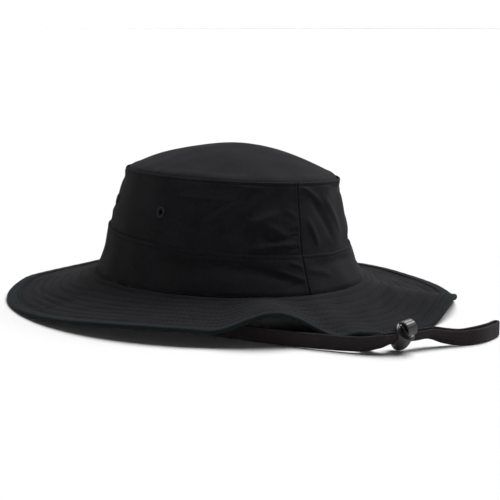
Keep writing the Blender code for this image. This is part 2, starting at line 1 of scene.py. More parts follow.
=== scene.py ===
# %% [markdown]
# # A black bucket hat with a chin strap
#
# The hat is sewn from cotton twill: a domed top panel, an upper band and a lower band, each in
# two halves, and a wide brim of two layers with a stiffener between them. Rows of stitching hold
# the brim's layers together, and a folded tape binds its edge. A braided strap hangs from the
# headline, and a spring cord lock slides along it.
#
# The sizes come first. Everything below is modelled on those, in metres, with +Z up, the front
# of the hat towards -Y and its back seam towards +Y.

# %% The tools and the solids
import math
import random

import bpy
import numpy as np
from mathutils import Matrix, Vector


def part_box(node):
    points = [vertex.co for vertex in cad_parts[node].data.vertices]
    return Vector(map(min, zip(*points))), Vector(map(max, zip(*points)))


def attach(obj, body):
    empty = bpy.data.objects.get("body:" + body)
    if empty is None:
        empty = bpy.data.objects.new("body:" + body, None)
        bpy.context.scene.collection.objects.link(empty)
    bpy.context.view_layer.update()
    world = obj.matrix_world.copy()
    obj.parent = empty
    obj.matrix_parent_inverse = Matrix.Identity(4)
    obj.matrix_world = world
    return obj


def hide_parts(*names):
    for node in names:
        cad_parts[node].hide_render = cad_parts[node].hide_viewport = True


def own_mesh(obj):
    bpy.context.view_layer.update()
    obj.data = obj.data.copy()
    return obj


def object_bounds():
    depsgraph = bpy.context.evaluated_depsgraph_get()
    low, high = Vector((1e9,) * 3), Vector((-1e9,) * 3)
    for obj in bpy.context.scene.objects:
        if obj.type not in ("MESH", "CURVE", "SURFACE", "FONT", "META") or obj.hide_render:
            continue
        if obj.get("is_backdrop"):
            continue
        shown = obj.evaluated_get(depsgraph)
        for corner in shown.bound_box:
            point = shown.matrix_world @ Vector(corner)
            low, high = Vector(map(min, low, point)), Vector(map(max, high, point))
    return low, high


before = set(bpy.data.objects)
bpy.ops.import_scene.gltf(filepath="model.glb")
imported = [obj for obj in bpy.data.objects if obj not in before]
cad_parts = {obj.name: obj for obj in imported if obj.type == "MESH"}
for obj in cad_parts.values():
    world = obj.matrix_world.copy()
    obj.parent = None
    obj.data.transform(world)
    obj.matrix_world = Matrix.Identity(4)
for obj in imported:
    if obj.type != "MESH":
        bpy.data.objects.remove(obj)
CAD_LOW, CAD_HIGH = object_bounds()
MM = 0.001
print("solids:", len(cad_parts), "size in mm:", [round(c / MM) for c in CAD_HIGH - CAD_LOW])

# %% [markdown]
# ## The camera
#
# The hat is seen from behind its left side, from just above the table, with a long lens. A long
# lens from a metre away keeps the two ends of the brim almost the same size.

# %% The camera
CAMERA_PLACE = Vector((0.482, 0.866, 0.1905))
CAMERA_AIM = Vector((-0.0125, 0.0069, 0.0320))
LENS = 106.4

camera = bpy.data.objects.new("camera", bpy.data.cameras.new("camera"))
bpy.context.scene.collection.objects.link(camera)
camera.data.lens = LENS
camera.data.sensor_width = 36.0
camera.location = CAMERA_PLACE
camera.rotation_mode = "QUATERNION"
camera.rotation_quaternion = (CAMERA_AIM - CAMERA_PLACE).to_track_quat("-Z", "Y")
bpy.context.scene.camera = camera
print("camera", round((CAMERA_PLACE - CAMERA_AIM).length, 3), "m from the hat")

# %% [markdown]
# ## The way of the strap
#
# The strap is one flat tape, 9 mm wide. It leaves the headline on the left, stands on its edge
# under the brim, comes out from under the raised part of the brim, goes through the cord lock,
# runs on as a doubled tail, folds back, and returns through the lock to the right side. A few
# given points give the way, each with the tape's lean, and a smooth curve goes through
# them.

# %% The strap's own points
STRAP_WIDTH = 9.0 * MM
STRAP_THICKNESS = 1.4 * MM
STRAP_LIFT = 0.4 * MM
LAYER_SPACE = 1.9 * MM
LOCK_CENTRE = Vector((-0.0030, 0.1962, 0.0091))
LOCK_HEADING = 181.0
LOCK_ROLL = 44.0
LOCK_MOUTH = 6.5 * MM
LOCK_RUN = 12.5 * MM


def resting(lean):
    """Height of the tape's middle when it rests on the table, leaning this far from upright."""
    tip = math.radians(lean)
    return STRAP_WIDTH / 2 * math.cos(tip) + STRAP_THICKNESS / 2 * math.sin(tip) + STRAP_LIFT


ON_EDGE = resting(0)
FLAT = resting(90)
END_X = 0.0799
# x, y, height, and lean to the right of travel in degrees
LEFT_LEG = (
    (END_X, 0.0063, 0.0100, 0),
    (0.0818, 0.0260, 0.0085, 0),
    (0.0832, 0.0480, 0.0058, 0),
    (0.0800, 0.0720, ON_EDGE, 0),
    (0.0730, 0.0970, ON_EDGE, 0),
    (0.0618, 0.1230, ON_EDGE, 0),
    (0.0462, 0.1500, ON_EDGE, 0),
    (0.0310, 0.1720, ON_EDGE, 4),
    (0.0190, 0.1880, 0.0056, 14),
    (0.0100, 0.1958, 0.0076, 30),
)
# the doubled tail: x, y, height, lean, and space between the two layers
TAIL = (
    (-0.0240, 0.1958, LOCK_CENTRE.z, LOCK_ROLL, LAYER_SPACE),
    (-0.0330, 0.1975, 0.0066, 24, 0.0024),
    (-0.0430, 0.1992, ON_EDGE, 6, 0.0040),
    (-0.0560, 0.1988, ON_EDGE, 0, 0.0058),
    (-0.0690, 0.1942, ON_EDGE, 0, 0.0042),
    (-0.0770, 0.1896, ON_EDGE, 0, 0.0030),
)
RIGHT_LEG = (
    (-END_X, 0.0063, 0.0100, 0),
    (-0.0812, 0.0260, 0.0085, 0),
    (-0.0818, 0.0480, 0.0060, 0),
    (-0.0780, 0.0700, ON_EDGE, 0),
    (-0.0690, 0.0880, resting(20), 20),
    (-0.0560, 0.1040, resting(60), 60),
    (-0.0400, 0.1200, FLAT, 90),
    (-0.0220, 0.1370, FLAT, 90),
    (-0.0060, 0.1545, FLAT, 90),
    (0.0060, 0.1710, 0.0014, 88),
    (0.0118, 0.1830, 0.0046, 70),
    (0.0098, 0.1918, 0.0082, 50),
)
TURN = Matrix.Rotation(math.radians(LOCK_HEADING), 4, "Z") @ Matrix.Rotation(math.radians(LOCK_ROLL), 4, "X")
LOCK_MATRIX = Matrix.Translation(LOCK_CENTRE) @ TURN

# %% [markdown]
# The chosen points become one smooth, evenly spaced line, which the strap is swept along.

# %% One smooth line through them
STRAP_STEP = 0.7 * MM


def beside(point, way, lean, aside):
    """A point moved square to the tape's face, to the right of travel."""
    right = Vector((way.y, -way.x, 0.0)).normalized()
    tip = math.radians(lean)
    return Vector(point) + (right * math.cos(tip) - Vector((0, 0, 1)) * math.sin(tip)) * aside


def strap_route():
    """Left leg, lock, one layer of the tail, its fold, the other layer, lock, right leg."""
    heading = LOCK_MATRIX.to_3x3() @ Vector((1, 0, 0))
    middle = []
    for along in (-LOCK_MOUTH, 0.0, LOCK_RUN):
        middle.append((*(LOCK_CENTRE + heading * along), LOCK_ROLL, LAYER_SPACE))
    middle += list(TAIL)
    ways = []
    for i in range(len(middle)):
        before, after = middle[max(i - 1, 0)], middle[min(i + 1, len(middle) - 1)]
        way = Vector(after[:3]) - Vector(before[:3])
        ways.append(Vector((way.x, way.y, 0.0)).normalized())
    out_layer, back_layer = [], []
    for (x, y, z, lean, space), way in zip(middle, ways):
        out_layer.append((*beside((x, y, z), way, lean, space / 2), lean))
        back_layer.append((*beside((x, y, z), way, lean, -space / 2), -lean))
    end, way, radius = Vector(middle[-1][:3]), ways[-1], middle[-1][4] / 2
    right = Vector((way.y, -way.x, 0.0))
    fold = []
    for turn in (45, 90, 135):
        bend = math.radians(turn)
        fold.append((*(end + right * radius * math.cos(bend) + way * radius * math.sin(bend)), 0.0))
    right_leg = [(x, y, z, -lean) for x, y, z, lean in reversed(RIGHT_LEG)]
    return list(LEFT_LEG) + out_layer + fold + back_layer[::-1] + right_leg


def smooth_route(route, step):
    """Points a step or less apart on one smooth curve through the route's own points."""
    points = np.array([tuple(p) for p in route])
    places = np.concatenate([[0.0], np.cumsum(np.linalg.norm(np.diff(points[:, :3], axis=0), axis=1))])
    slopes = np.zeros_like(points)
    for i in range(len(points)):
        low, high = max(i - 1, 0), min(i + 1, len(points) - 1)
        slopes[i] = (points[high] - points[low]) / (places[high] - places[low])
    made = []
    for i in range(len(points) - 1):
        span = places[i + 1] - places[i]
        for t in np.linspace(0.0, 1.0, max(1, math.ceil(span / step)), endpoint=False):
            made.append(
                points[i] * (2 * t**3 - 3 * t**2 + 1)
                + slopes[i] * span * (t**3 - 2 * t**2 + t)
                + points[i + 1] * (3 * t**2 - 2 * t**3)
                + slopes[i + 1] * span * (t**3 - t**2)
            )
    return np.array(made + [points[-1]])


STRAP_LINE = smooth_route(strap_route(), STRAP_STEP)

# %% [markdown]
# ## Cloth from rows and columns
#
# Each panel of the hat starts as a flat grid, which is the same for the computer as the flat
# cloth on the cutting table. The grid's points are then moved to where the sewn cloth lies, and
# pushed in and out along the cloth's own normal, for folds, seams and stitched channels. Solidify
# gives the cloth its thickness. The UV map keeps the flat cloth's size in metres, so that the
# weave in the material follows the cloth.

# %% A cloth panel from a grid


def deselect():
    for o in bpy.context.selected_objects:
        o.select_set(False)


def finish_mesh(o, finish, body="hat", nodes=(), angle=40.0):
    """Smooth shading, the finish, the body that it moves with, and the solids it stands for."""
    deselect()
    bpy.context.view_layer.objects.active = o
    o.select_set(True)
    bpy.ops.object.transform_apply(location=True, rotation=True, scale=True)
    bpy.ops.object.shade_smooth_by_angle(angle=math.radians(angle))
    o.data.materials.clear()
    o.data.materials.append(finish)
    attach(o, body)
    if nodes:
        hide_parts(*nodes)
    print(o.name, len(o.data.polygons), "faces")
    return o


def apply_modifier(o, kind, **settings):
    """A modifier with these settings, added and applied."""
    made = o.modifiers.new(kind.lower(), kind)
    for key, value in settings.items():
        setattr(made, key, value)
    deselect()
    bpy.context.view_layer.objects.active = o
    o.select_set(True)
    bpy.ops.object.modifier_apply(modifier=made.name)


def normals_of(points, closed):
    """The outward direction at each point of a grid of points (rows, columns, 3)."""
    if closed:
        along = np.roll(points, -1, axis=1) - np.roll(points, 1, axis=1)
    else:
        along = np.gradient(points, axis=1)
    up = np.gradient(points, axis=0)
    out = np.cross(along, up)
    return out / np.maximum(np.linalg.norm(out, axis=2, keepdims=True), 1e-12)


def grid_panel(name, s, t, place, relief, closed=False, thickness=0.5 * MM, flat=None):
    """Cloth through place(s, t), with relief(s, t) pushed out along its normal.

    s runs along the cloth and t up it, flat(s, t) gives the same point on the flat cloth.
    """
    deselect()
    columns, rows = len(s), len(t)
    bpy.ops.mesh.primitive_grid_add(x_subdivisions=columns - 1, y_subdivisions=rows - 1, size=1.0)
    o = bpy.context.object
    o.name = o.data.name = name
    across, up = np.meshgrid(np.asarray(s, float), np.asarray(t, float))
    points = place(across, up)
    ring = closed and np.allclose(points[:, 0], points[:, -1], atol=1e-7)
    base = points[:, :-1] if ring else points
    out = normals_of(base, ring)
    if ring:
        out = np.concatenate([out, out[:, :1]], axis=1)
    points = points + out * relief(across, up)[..., None]
    mesh = o.data
    mesh.vertices.foreach_set("co", points.reshape(-1, 3).astype(np.float32).ravel())
    cut = flat(across, up) if flat else (across, up)
    cut = np.stack(cut, axis=-1).reshape(-1, 2)
    corner = np.zeros(len(mesh.loops), np.int32)
    mesh.loops.foreach_get("vertex_index", corner)
    mesh.uv_layers.active.data.foreach_set("uv", cut[corner].astype(np.float32).ravel())
    mesh.update()
    if closed:
        apply_modifier(o, "WELD", merge_threshold=0.00001)
    apply_modifier(o, "SOLIDIFY", thickness=thickness, offset=-1.0, use_even_offset=True)
    return o


print("cloth panels are made by grid_panel")

# %% [markdown]
# ## The form of the hat
#
# Each seam of the crown is an oval that leans a little, because the hat stands on a soft brim. A
# band is the cone between two such ovals. The brim falls from the headline to its edge, and the
# edge is lifted in a few soft waves, as a brim is that has been folded in a bag. The ovals' sizes
# are read from the solids, so the cloth fits round them.

# %% Ovals, seams and the brim
CLOTH = 0.5 * MM
GAP = 0.3 * MM
BRIM_REACH = 60.6 * MM
brim_low, brim_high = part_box("brim_top")
top_low, top_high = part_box("top_panel")
HEAD_HALF_WIDTH = brim_high.x - BRIM_REACH
HEAD_HALF_LENGTH = brim_high.y - BRIM_REACH
TOP_HALF_WIDTH = (top_high.x - top_low.x) / 2
TOP_HALF_LENGTH = (top_high.y - top_low.y) / 2
MID_HALF_WIDTH = 76.5 * MM
MID_HALF_LENGTH = 95.8 * MM
HEADLINE_HEIGHT = 18.0 * MM
LOWER_BAND_HEIGHT = 26.2 * MM
UPPER_BAND_HEIGHT = 40.8 * MM
LAP_STEP = 1.1 * MM
DOME_RISE = 19.0 * MM
DOME_ROUNDNESS = 2.0
DOME_PEAK = (-5.9 * MM, 3.3 * MM)
BINDING_WIDTH = 7.5 * MM
EDGE_STACK = 2.65 * MM
LAYERS_BELOW = 1.6 * MM
BRIM_CAMBER = 0.9
EDGE_SINK = 0.7 * MM
# where the edge is lifted: middle (degrees around), half width (degrees), lift (mm)
EDGE_LIFTS = (
    (45, 58, 8.0),
    (69, 16, 13.0),
    (90, 9, 2.4),
    (131, 19, 9.0),
    (195, 23, 1.5),
    (262, 30, 4.0),
    (312, 14, 1.0),
)
MID_HEIGHT = HEADLINE_HEIGHT + LOWER_BAND_HEIGHT
TOP_HEIGHT = MID_HEIGHT + UPPER_BAND_HEIGHT
# half width, half length, height, rise per metre of X and of Y, and shift of the middle
SEAMS = {
    "head": (HEAD_HALF_WIDTH, HEAD_HALF_LENGTH, HEADLINE_HEIGHT, (0.0, 0.0), (0.0, 0.0)),
    "mid": (MID_HALF_WIDTH, MID_HALF_LENGTH, MID_HEIGHT, (0.036, -0.034), (0.7 * MM, -0.8 * MM)),
    "top": (TOP_HALF_WIDTH, TOP_HALF_LENGTH, TOP_HEIGHT, (0.046, 0.006), (-1.6 * MM, 0.8 * MM)),
}


def seam_points(seam, around, inset=0.0):
    """Points on one of the crown's seams, moved in by inset; around is in degrees."""
    half_width, half_length, height, lean, shift = SEAMS[seam]
    t = np.radians(around)
    x = shift[0] + (half_width - inset) * np.cos(t)
    y = shift[1] + (half_length - inset) * np.sin(t)
    return np.stack([x, y, height + lean[0] * x + lean[1] * y], axis=-1)


def band_points(low, high, around, up, inset=0.0):
    """Points on a crown band, up from 0 at its lower seam to 1 at its upper one."""
    share = np.asarray(up)[..., None]
    return seam_points(low, around, inset) * (1 - share) + seam_points(high, around, inset) * share


def edge_lift(around):
    lift = np.zeros_like(np.asarray(around, float))
    for middle, half_width, height in EDGE_LIFTS:
        off = np.clip(((around - middle + 180.0) % 360.0 - 180.0) / half_width, -1.0, 1.0)
        lift += height * MM * np.cos(np.pi / 2 * off) ** 2
    return lift


def smooth_step(low, high, value):
    t = np.clip((value - low) / (high - low), 0.0, 1.0)
    return t * t * (3 - 2 * t)


def brim_points(around, reach, below=0.0):
    """Points of the brim this far out from the headline, and this far below its top face."""
    t = np.radians(around)
    out = reach / BRIM_REACH
    x = (HEAD_HALF_WIDTH + reach) * np.cos(t)
    y = (HEAD_HALF_LENGTH + reach) * np.sin(t)
    edge = edge_lift(around) + EDGE_STACK
    fall = out + BRIM_CAMBER * out * (1.0 - out)
    sink = EDGE_SINK * smooth_step(0.75, 1.0, out)
    z = HEADLINE_HEIGHT + (edge - HEADLINE_HEIGHT) * fall + CLOTH / 2 - sink
    return np.stack([x, y, z - below], axis=-1)


print("headline oval in mm:", round(HEAD_HALF_WIDTH / MM, 1), round(HEAD_HALF_LENGTH / MM, 1))

# %% [markdown]
# ## Folds and pulls in the cloth
#
# Sewn cloth is never quite smooth. Thread is tighter than cloth, so the cloth is drawn in along
# each stitch line, and where two seams meet it pulls into short diagonal folds. A fold here is a
# line across the cloth with a rounded ridge or a hollow along it. Slow waves a few centimetres
# long lie under them all.

# %% Folds, slow waves and stitch lines
random.seed(7)


def fold_field(folds, x, y):
    """Height of the folds at (x, y), in metres. A fold is x0, y0, x1, y1, half width, height."""
    total = np.zeros_like(x)
    for x0, y0, x1, y1, half_width, height in folds:
        dx, dy = x1 - x0, y1 - y0
        length = math.hypot(dx, dy)
        along = ((x - x0) * dx + (y - y0) * dy) / length**2
        off = ((x - x0) * dy - (y - y0) * dx) / length
        bow = 0.10 * length * np.clip(along * (1 - along), 0.0, 0.25)
        ends = smooth_step(-0.22, 0.25, along) * smooth_step(1.22, 0.75, along)
        total += height * ends * np.exp(-(((off + bow) / half_width) ** 2))
    return total


def wave_set(count, longest, shortest, height):
    """A few slow waves in seeded directions: length, direction, phase and height."""
    waves = []
    for i in range(count):
        length = longest * (shortest / longest) ** (i / max(count - 1, 1))
        waves.append((length, random.uniform(0, math.pi), random.uniform(0, 2 * math.pi), height))
    return waves


def wave_field(waves, x, y):
    total = np.zeros_like(x)
    for length, direction, phase, height in waves:
        way = x * math.cos(direction) + y * math.sin(direction)
        total += height * np.sin(2 * math.pi * way / length + phase)
    return total


def dip(distance, half_width, depth):
    """The hollow along a line of stitches."""
    return -depth * np.exp(-((distance / half_width) ** 2))


CROWN_WAVES = wave_set(7, 70 * MM, 22 * MM, 0.10 * MM)
BRIM_WAVES = wave_set(7, 80 * MM, 25 * MM, 0.09 * MM)
print("slow waves:", len(CROWN_WAVES) + len(BRIM_WAVES))

# %% [markdown]
# ## Colours and surfaces
#
# Every finish is made of nodes. A colour is written as it looks on a screen, and one function
# turns it to the linear values that the shader works in.

# %% Helpers for the finishes


def linear(code):
    """An sRGB hex colour as linear RGBA."""
    parts = [int(code[i : i + 2], 16) / 255 for i in (1, 3, 5)]
    return (*[p / 12.92 if p <= 0.04045 else ((p + 0.055) / 1.055) ** 2.4 for p in parts], 1.0)


def add_node(tree, kind, values=(), links=(), **settings):
    """One node with its settings, its sockets' values and the sockets that feed it."""
    made = tree.nodes.new(kind)
    for key, value in settings.items():
        setattr(made, key, value)
    for socket, value in dict(values).items():
        made.inputs[socket].default_value = value
    for socket, source in dict(links).items():
        tree.links.new(source, made.inputs[socket])
    return made


def new_finish(name, **values):
    """A material with the values of its Principled shader, which it returns with the tree."""
    made = bpy.data.materials.new(name)
    made.use_nodes = True
    shader = made.node_tree.nodes["Principled BSDF"]
    for key, value in values.items():
        shader.inputs[key.replace("_", " ")].default_value = value
    return made, made.node_tree, shader


def mix_colours(tree, share, first, second):
    """A colour between two hex colours."""
    mixed = add_node(tree, "ShaderNodeMix", data_type="RGBA", links={0: share})
    mixed.inputs[6].default_value = linear(first)
    mixed.inputs[7].default_value = linear(second)
    return mixed.outputs[2]


def spread(tree, value, low, high):
    """A value stretched so that low becomes 0 and high becomes 1."""
    return add_node(
        tree, "ShaderNodeMapRange", {"From Min": low, "From Max": high}, {"Value": value}
    ).outputs["Result"]


# a wave texture repeats every 0.314 of its coordinate at scale 1
WAVE_LENGTH = 2 * math.pi / 20

# %% [markdown]
# ## Cotton twill, tape and braid
#
# Twill is woven so that its threads step sideways by one at each row, which gives fine diagonal
# ribs. Real ones are about 0.4 mm apart, too fine to show from a metre away, so they are drawn
# 0.8 mm apart. Black cotton is a dull, very dark grey with a soft bloom of loose fibres, which
# the sheen gives, and a few specks of lint.

# %% Twill
TWILL_RIB = 0.8 * MM


def twill(name, dark, light, turn=58.0, sheen=0.06, rib=TWILL_RIB):
    """Black cotton twill; turn is the way of its ribs in degrees."""
    made, tree, shader = new_finish(name, Roughness=0.92, Sheen_Weight=sheen, Sheen_Roughness=0.4)
    shader.inputs["Sheen Tint"].default_value = linear("#7c7e86")
    shader.inputs["Specular IOR Level"].default_value = 0.12
    uv = add_node(tree, "ShaderNodeTexCoord").outputs["UV"]
    turned = add_node(
        tree, "ShaderNodeMapping", {"Rotation": (0.0, 0.0, math.radians(turn))}, {"Vector": uv}
    ).outputs["Vector"]
    ribs = add_node(
        tree,
        "ShaderNodeTexWave",
        {"Scale": WAVE_LENGTH / rib, "Distortion": 1.2, "Detail": 2.0, "Detail Scale": 1.5},
        {"Vector": turned},
    ).outputs["Fac"]
    slubs = add_node(
        tree, "ShaderNodeTexNoise", {"Scale": 1 / (2.2 * MM), "Detail": 4.0, "Roughness": 0.7}, {"Vector": uv}
    ).outputs["Fac"]
    bloom = add_node(
        tree, "ShaderNodeTexNoise", {"Scale": 1 / (28 * MM), "Detail": 3.0, "Roughness": 0.6}, {"Vector": uv}
    ).outputs["Fac"]
    lint = add_node(
        tree, "ShaderNodeTexVoronoi", {"Scale": 1 / (9 * MM), "Randomness": 1.0}, {"Vector": uv}
    ).outputs["Distance"]
    slub_share = spread(tree, slubs, 0.3, 0.75)
    worn = add_node(tree, "ShaderNodeMath", {1: 0.55}, {0: slub_share}, operation="MULTIPLY")
    cloudy = add_node(
        tree, "ShaderNodeMath", {1: 0.45, 2: 0.0}, {0: spread(tree, bloom, 0.3, 0.7), 2: worn.outputs[0]},
        operation="MULTIPLY_ADD",
    )
    ground = mix_colours(tree, cloudy.outputs[0], dark, light)
    speck = spread(tree, lint, 0.045, 0.02)
    dusted = add_node(tree, "ShaderNodeMix", data_type="RGBA", links={0: speck, 6: ground})
    dusted.inputs[7].default_value = linear("#333439")
    tree.links.new(dusted.outputs[2], shader.inputs["Base Color"])
    cords = add_node(tree, "ShaderNodeBump", {"Strength": 0.55, "Distance": 0.12 * MM}, {"Height": ribs})
    fuzz = add_node(
        tree,
        "ShaderNodeBump",
        {"Strength": 0.6, "Distance": 0.18 * MM},
        {"Height": slubs, "Normal": cords.outputs["Normal"]},
    )
    tree.links.new(fuzz.outputs["Normal"], shader.inputs["Normal"])
    return made


CROWN_TWILL = twill("black_cotton_twill", "#0c0c0e", "#1e1e21", sheen=0.04)
# the brim is the same cloth as the crown, but its colours are painted a little darker: painted shade for the
# weaker light on the brim
BRIM_TWILL_PAINTED_SHADE = twill("brim_twill_painted_shade", "#09090b", "#1a1a1d", turn=-35.0, sheen=0.04)
BIAS_TWILL = twill("bias_cut_binding", "#0d1012", "#15191b", turn=8.0, rib=0.6 * MM)
BAND_CLOTH = twill("woven_sweatband_cloth", "#161618", "#202024", turn=90.0, sheen=0.06, rib=1.1 * MM)
print("cloth finishes:", 4)

# %% [markdown]
# The strap's herringbone braid, sewing thread, the lock's moulded acetal, its spring wire and the
# brim's bonded stiffener.

# %% Braid, thread, plastic, steel and stiffener
BRAID_COLUMN = 1.1 * MM
BRAID_STRAND = 1.3 * MM


def braid():
    """Flat braided cotton: columns of strands that slope one way and then the other."""
    made, tree, shader = new_finish("braided_cotton_tape", Roughness=0.94, Sheen_Weight=0.12)
    shader.inputs["Sheen Tint"].default_value = linear("#8a8486")
    shader.inputs["Specular IOR Level"].default_value = 0.2
    uv = add_node(tree, "ShaderNodeTexCoord").outputs["UV"]
    split = add_node(tree, "ShaderNodeSeparateXYZ", links={0: uv})
    zigzag = add_node(
        tree, "ShaderNodeMath", {1: BRAID_COLUMN}, {0: split.outputs["X"]}, operation="PINGPONG"
    ).outputs[0]
    slope = add_node(
        tree, "ShaderNodeMath", {1: 0.9}, {0: zigzag, 2: split.outputs["Y"]}, operation="MULTIPLY_ADD"
    ).outputs[0]
    place = add_node(tree, "ShaderNodeCombineXYZ", links={"X": slope}).outputs[0]
    strands = add_node(
        tree, "ShaderNodeTexWave", {"Scale": WAVE_LENGTH / BRAID_STRAND, "Distortion": 0.0}, {"Vector": place}
    ).outputs["Fac"]
    fibres = add_node(
        tree, "ShaderNodeTexNoise",
        {"Scale": 1 / (0.9 * MM), "Detail": 4.0, "Roughness": 0.75}, {"Vector": uv},
    ).outputs["Fac"]
    share = add_node(tree, "ShaderNodeMath", {1: 0.5}, {0: strands, 2: fibres}, operation="MULTIPLY_ADD")
    colour = mix_colours(tree, spread(tree, share.outputs[0], 0.45, 1.0), "#141113", "#2b2627")
    tree.links.new(colour, shader.inputs["Base Color"])
    ribs = add_node(tree, "ShaderNodeBump", {"Strength": 0.9, "Distance": 0.3 * MM}, {"Height": strands})
    fuzz = add_node(
        tree,
        "ShaderNodeBump",
        {"Strength": 0.7, "Distance": 0.25 * MM},
        {"Height": fibres, "Normal": ribs.outputs["Normal"]},
    )
    tree.links.new(fuzz.outputs["Normal"], shader.inputs["Normal"])
    return made


def grained(name, dark, light, roughness, grain, depth, **values):
    """A plain finish with a fine grain of this size and depth, on the object's own coordinates."""
    made, tree, shader = new_finish(name, Roughness=roughness, **values)
    where = add_node(tree, "ShaderNodeTexCoord").outputs["Object"]
    grains = add_node(
        tree, "ShaderNodeTexNoise", {"Scale": 1 / grain, "Detail": 3.0}, {"Vector": where}
    ).outputs["Fac"]
    colour = mix_colours(tree, spread(tree, grains, 0.3, 0.7), dark, light)
    tree.links.new(colour, shader.inputs["Base Color"])
    bump = add_node(tree, "ShaderNodeBump", {"Strength": 0.5, "Distance": depth}, {"Height": grains})
    tree.links.new(bump.outputs["Normal"], shader.inputs["Normal"])
    return made


BRAID = braid()
# the thread is black, and is painted darker still than the cloth so that the stitch rows read as dark dashes:
# painted shade for the shadows of the needle holes
THREAD_WITH_PAINTED_SHADE = grained("polyester_thread_painted_shade", "#060607", "#0d0d0f", 0.8, 0.4 * MM, 0.05 * MM, Specular_IOR_Level=0.04)
SATIN_THREAD = grained(
    "satin_stitch_thread", "#141518", "#1e1f22", 0.6, 0.4 * MM, 0.05 * MM, Specular_IOR_Level=0.2
)
# acetal is moulded in a finely sanded tool, so it shines softly
PLASTIC = grained("moulded_acetal", "#252426", "#2b2a2c", 0.36, 0.35 * MM, 0.012 * MM)
STEEL = grained("spring_steel_wire", "#8a8a8e", "#a2a2a6", 0.32, 0.5 * MM, 0.01 * MM, Metallic=1.0)
STIFFENER = grained("bonded_fibre_stiffener", "#b9b9b2", "#d2d2cc", 0.9, 1.2 * MM, 0.08 * MM)
print("finishes:", len([m for m in bpy.data.materials if m.users]))

# %% [markdown]
# ## The crown
#
# The upper band is the tall part of the crown. Its top edge is turned over into the seam with the
# top panel, which leaves a small rounded shoulder, and its hem is tucked behind the lower band.
# The two halves meet in upright seams at the front and the back, where the cloth dips.

# %% The upper band
SHOULDER = 0.9 * MM
HEM = 3.0 * MM
ROW_STEP = 1.0 * MM
TOP_STITCH = 0.9 * MM
BACK_STITCH = 3.0 * MM
SEAM_SLIT = 0.12
UPPER_FOLD = 1.75 * MM
LOWER_FOLD = 1.3 * MM
MEAN_RADIUS = (HEAD_HALF_WIDTH + HEAD_HALF_LENGTH) / 2
# folds on the half with the left side: degrees around, share of the height, and mm
UPPER_FOLDS_LEFT = (
    (18, 0.93, 70, 0.95, 2.4, 0.55),
    (30, 0.80, 61, 0.80, 3.2, -1.15),
    (41, 0.46, 60, 0.80, 2.0, -0.55),
    (47, 0.44, 64, 0.90, 2.6, 0.85),
    (56, 0.48, 75, 0.88, 2.4, 0.55),
    (51, 0.26, 66, 0.42, 3.0, -0.75),
    (61, 0.36, 77, 0.58, 2.6, 1.30),
    (70, 0.45, 82, 0.28, 2.2, 0.70),
    (68, 0.30, 76, 0.24, 2.0, -0.70),
    (66, 0.09, 87, 0.16, 1.6, 0.75),
    (70, 0.20, 85, 0.24, 1.3, -0.55),
    (83, 0.62, 88, 0.55, 1.2, 0.40),
    (84, 0.34, 89, 0.36, 0.9, -0.45),
    (84, 0.28, 89, 0.29, 0.8, -0.40),
    (84, 0.10, 89, 0.12, 0.9, -0.40),
    (-86, 0.30, -66, 0.62, 3.2, 0.90),
    (-84, 0.72, -58, 0.52, 3.0, -0.70),
    (-50, 0.85, -20, 0.82, 3.4, -0.55),
    (-40, 0.20, -12, 0.30, 3.6, 0.55),
)
UPPER_FOLDS_RIGHT = (
    (93, 0.95, 106, 0.72, 1.8, 0.60),
    (99, 0.78, 113, 0.22, 3.4, -0.65),
    (95, 0.50, 101, 0.14, 2.4, 0.60),
    (108, 0.80, 122, 0.30, 3.2, 0.55),
    (118, 0.86, 150, 0.82, 3.2, -0.70),
    (128, 0.20, 158, 0.34, 3.6, 0.60),
    (150, 0.50, 172, 0.74, 3.4, 0.70),
    (178, 0.22, 205, 0.30, 4.0, -0.60),
    (196, 0.82, 226, 0.80, 3.4, -0.60),
    (222, 0.20, 246, 0.56, 3.4, 0.90),
    (246, 0.74, 262, 0.46, 2.8, 0.70),
    (250, 0.30, 266, 0.22, 2.2, -0.60),
)


def in_metres(folds, height, deepen):
    """Folds given in degrees and shares of a band's height, as lengths on the flat cloth."""
    turn = math.radians(1.0) * MEAN_RADIUS
    return [
        (a0 * turn, k0 * height, a1 * turn, k1 * height, w * MM, h * deepen)
        for a0, k0, a1, k1, w, h in folds
    ]


def flat_band(around, up):
    return np.radians(around) * MEAN_RADIUS, up


def from_seam(around, middle):
    """Distance on the cloth from an upright seam."""
    return np.abs((around - middle + 180.0) % 360.0 - 180.0) * math.radians(1.0) * MEAN_RADIUS


def upper_band_place(around, up):
    """The tucked hem, the band, and its top edge turned over the shoulder."""
    share = np.clip(up / UPPER_BAND_HEIGHT, 0.0, 1.0)
    inset = (LAP_STEP - CLOTH / 2) * (1.0 - 0.6 * smooth_step(0.75, 1.0, share))
    low = seam_points("mid", around) * 1.0
    t = np.radians(around)
    outward = np.stack([np.cos(t), np.sin(t), np.zeros_like(t)], axis=-1)
    points = band_points("mid", "top", around, share)
    below = np.clip(-up, 0.0, None) / LOWER_BAND_HEIGHT
    points = points + (seam_points("head", around) - low) * below[..., None]
    bend = np.clip((up - UPPER_BAND_HEIGHT) / SHOULDER, 0.0, None)
    points = points - outward * (inset + SHOULDER * (1.0 - np.cos(bend)))[..., None]
    points[..., 2] += SHOULDER * np.sin(bend)
    return points


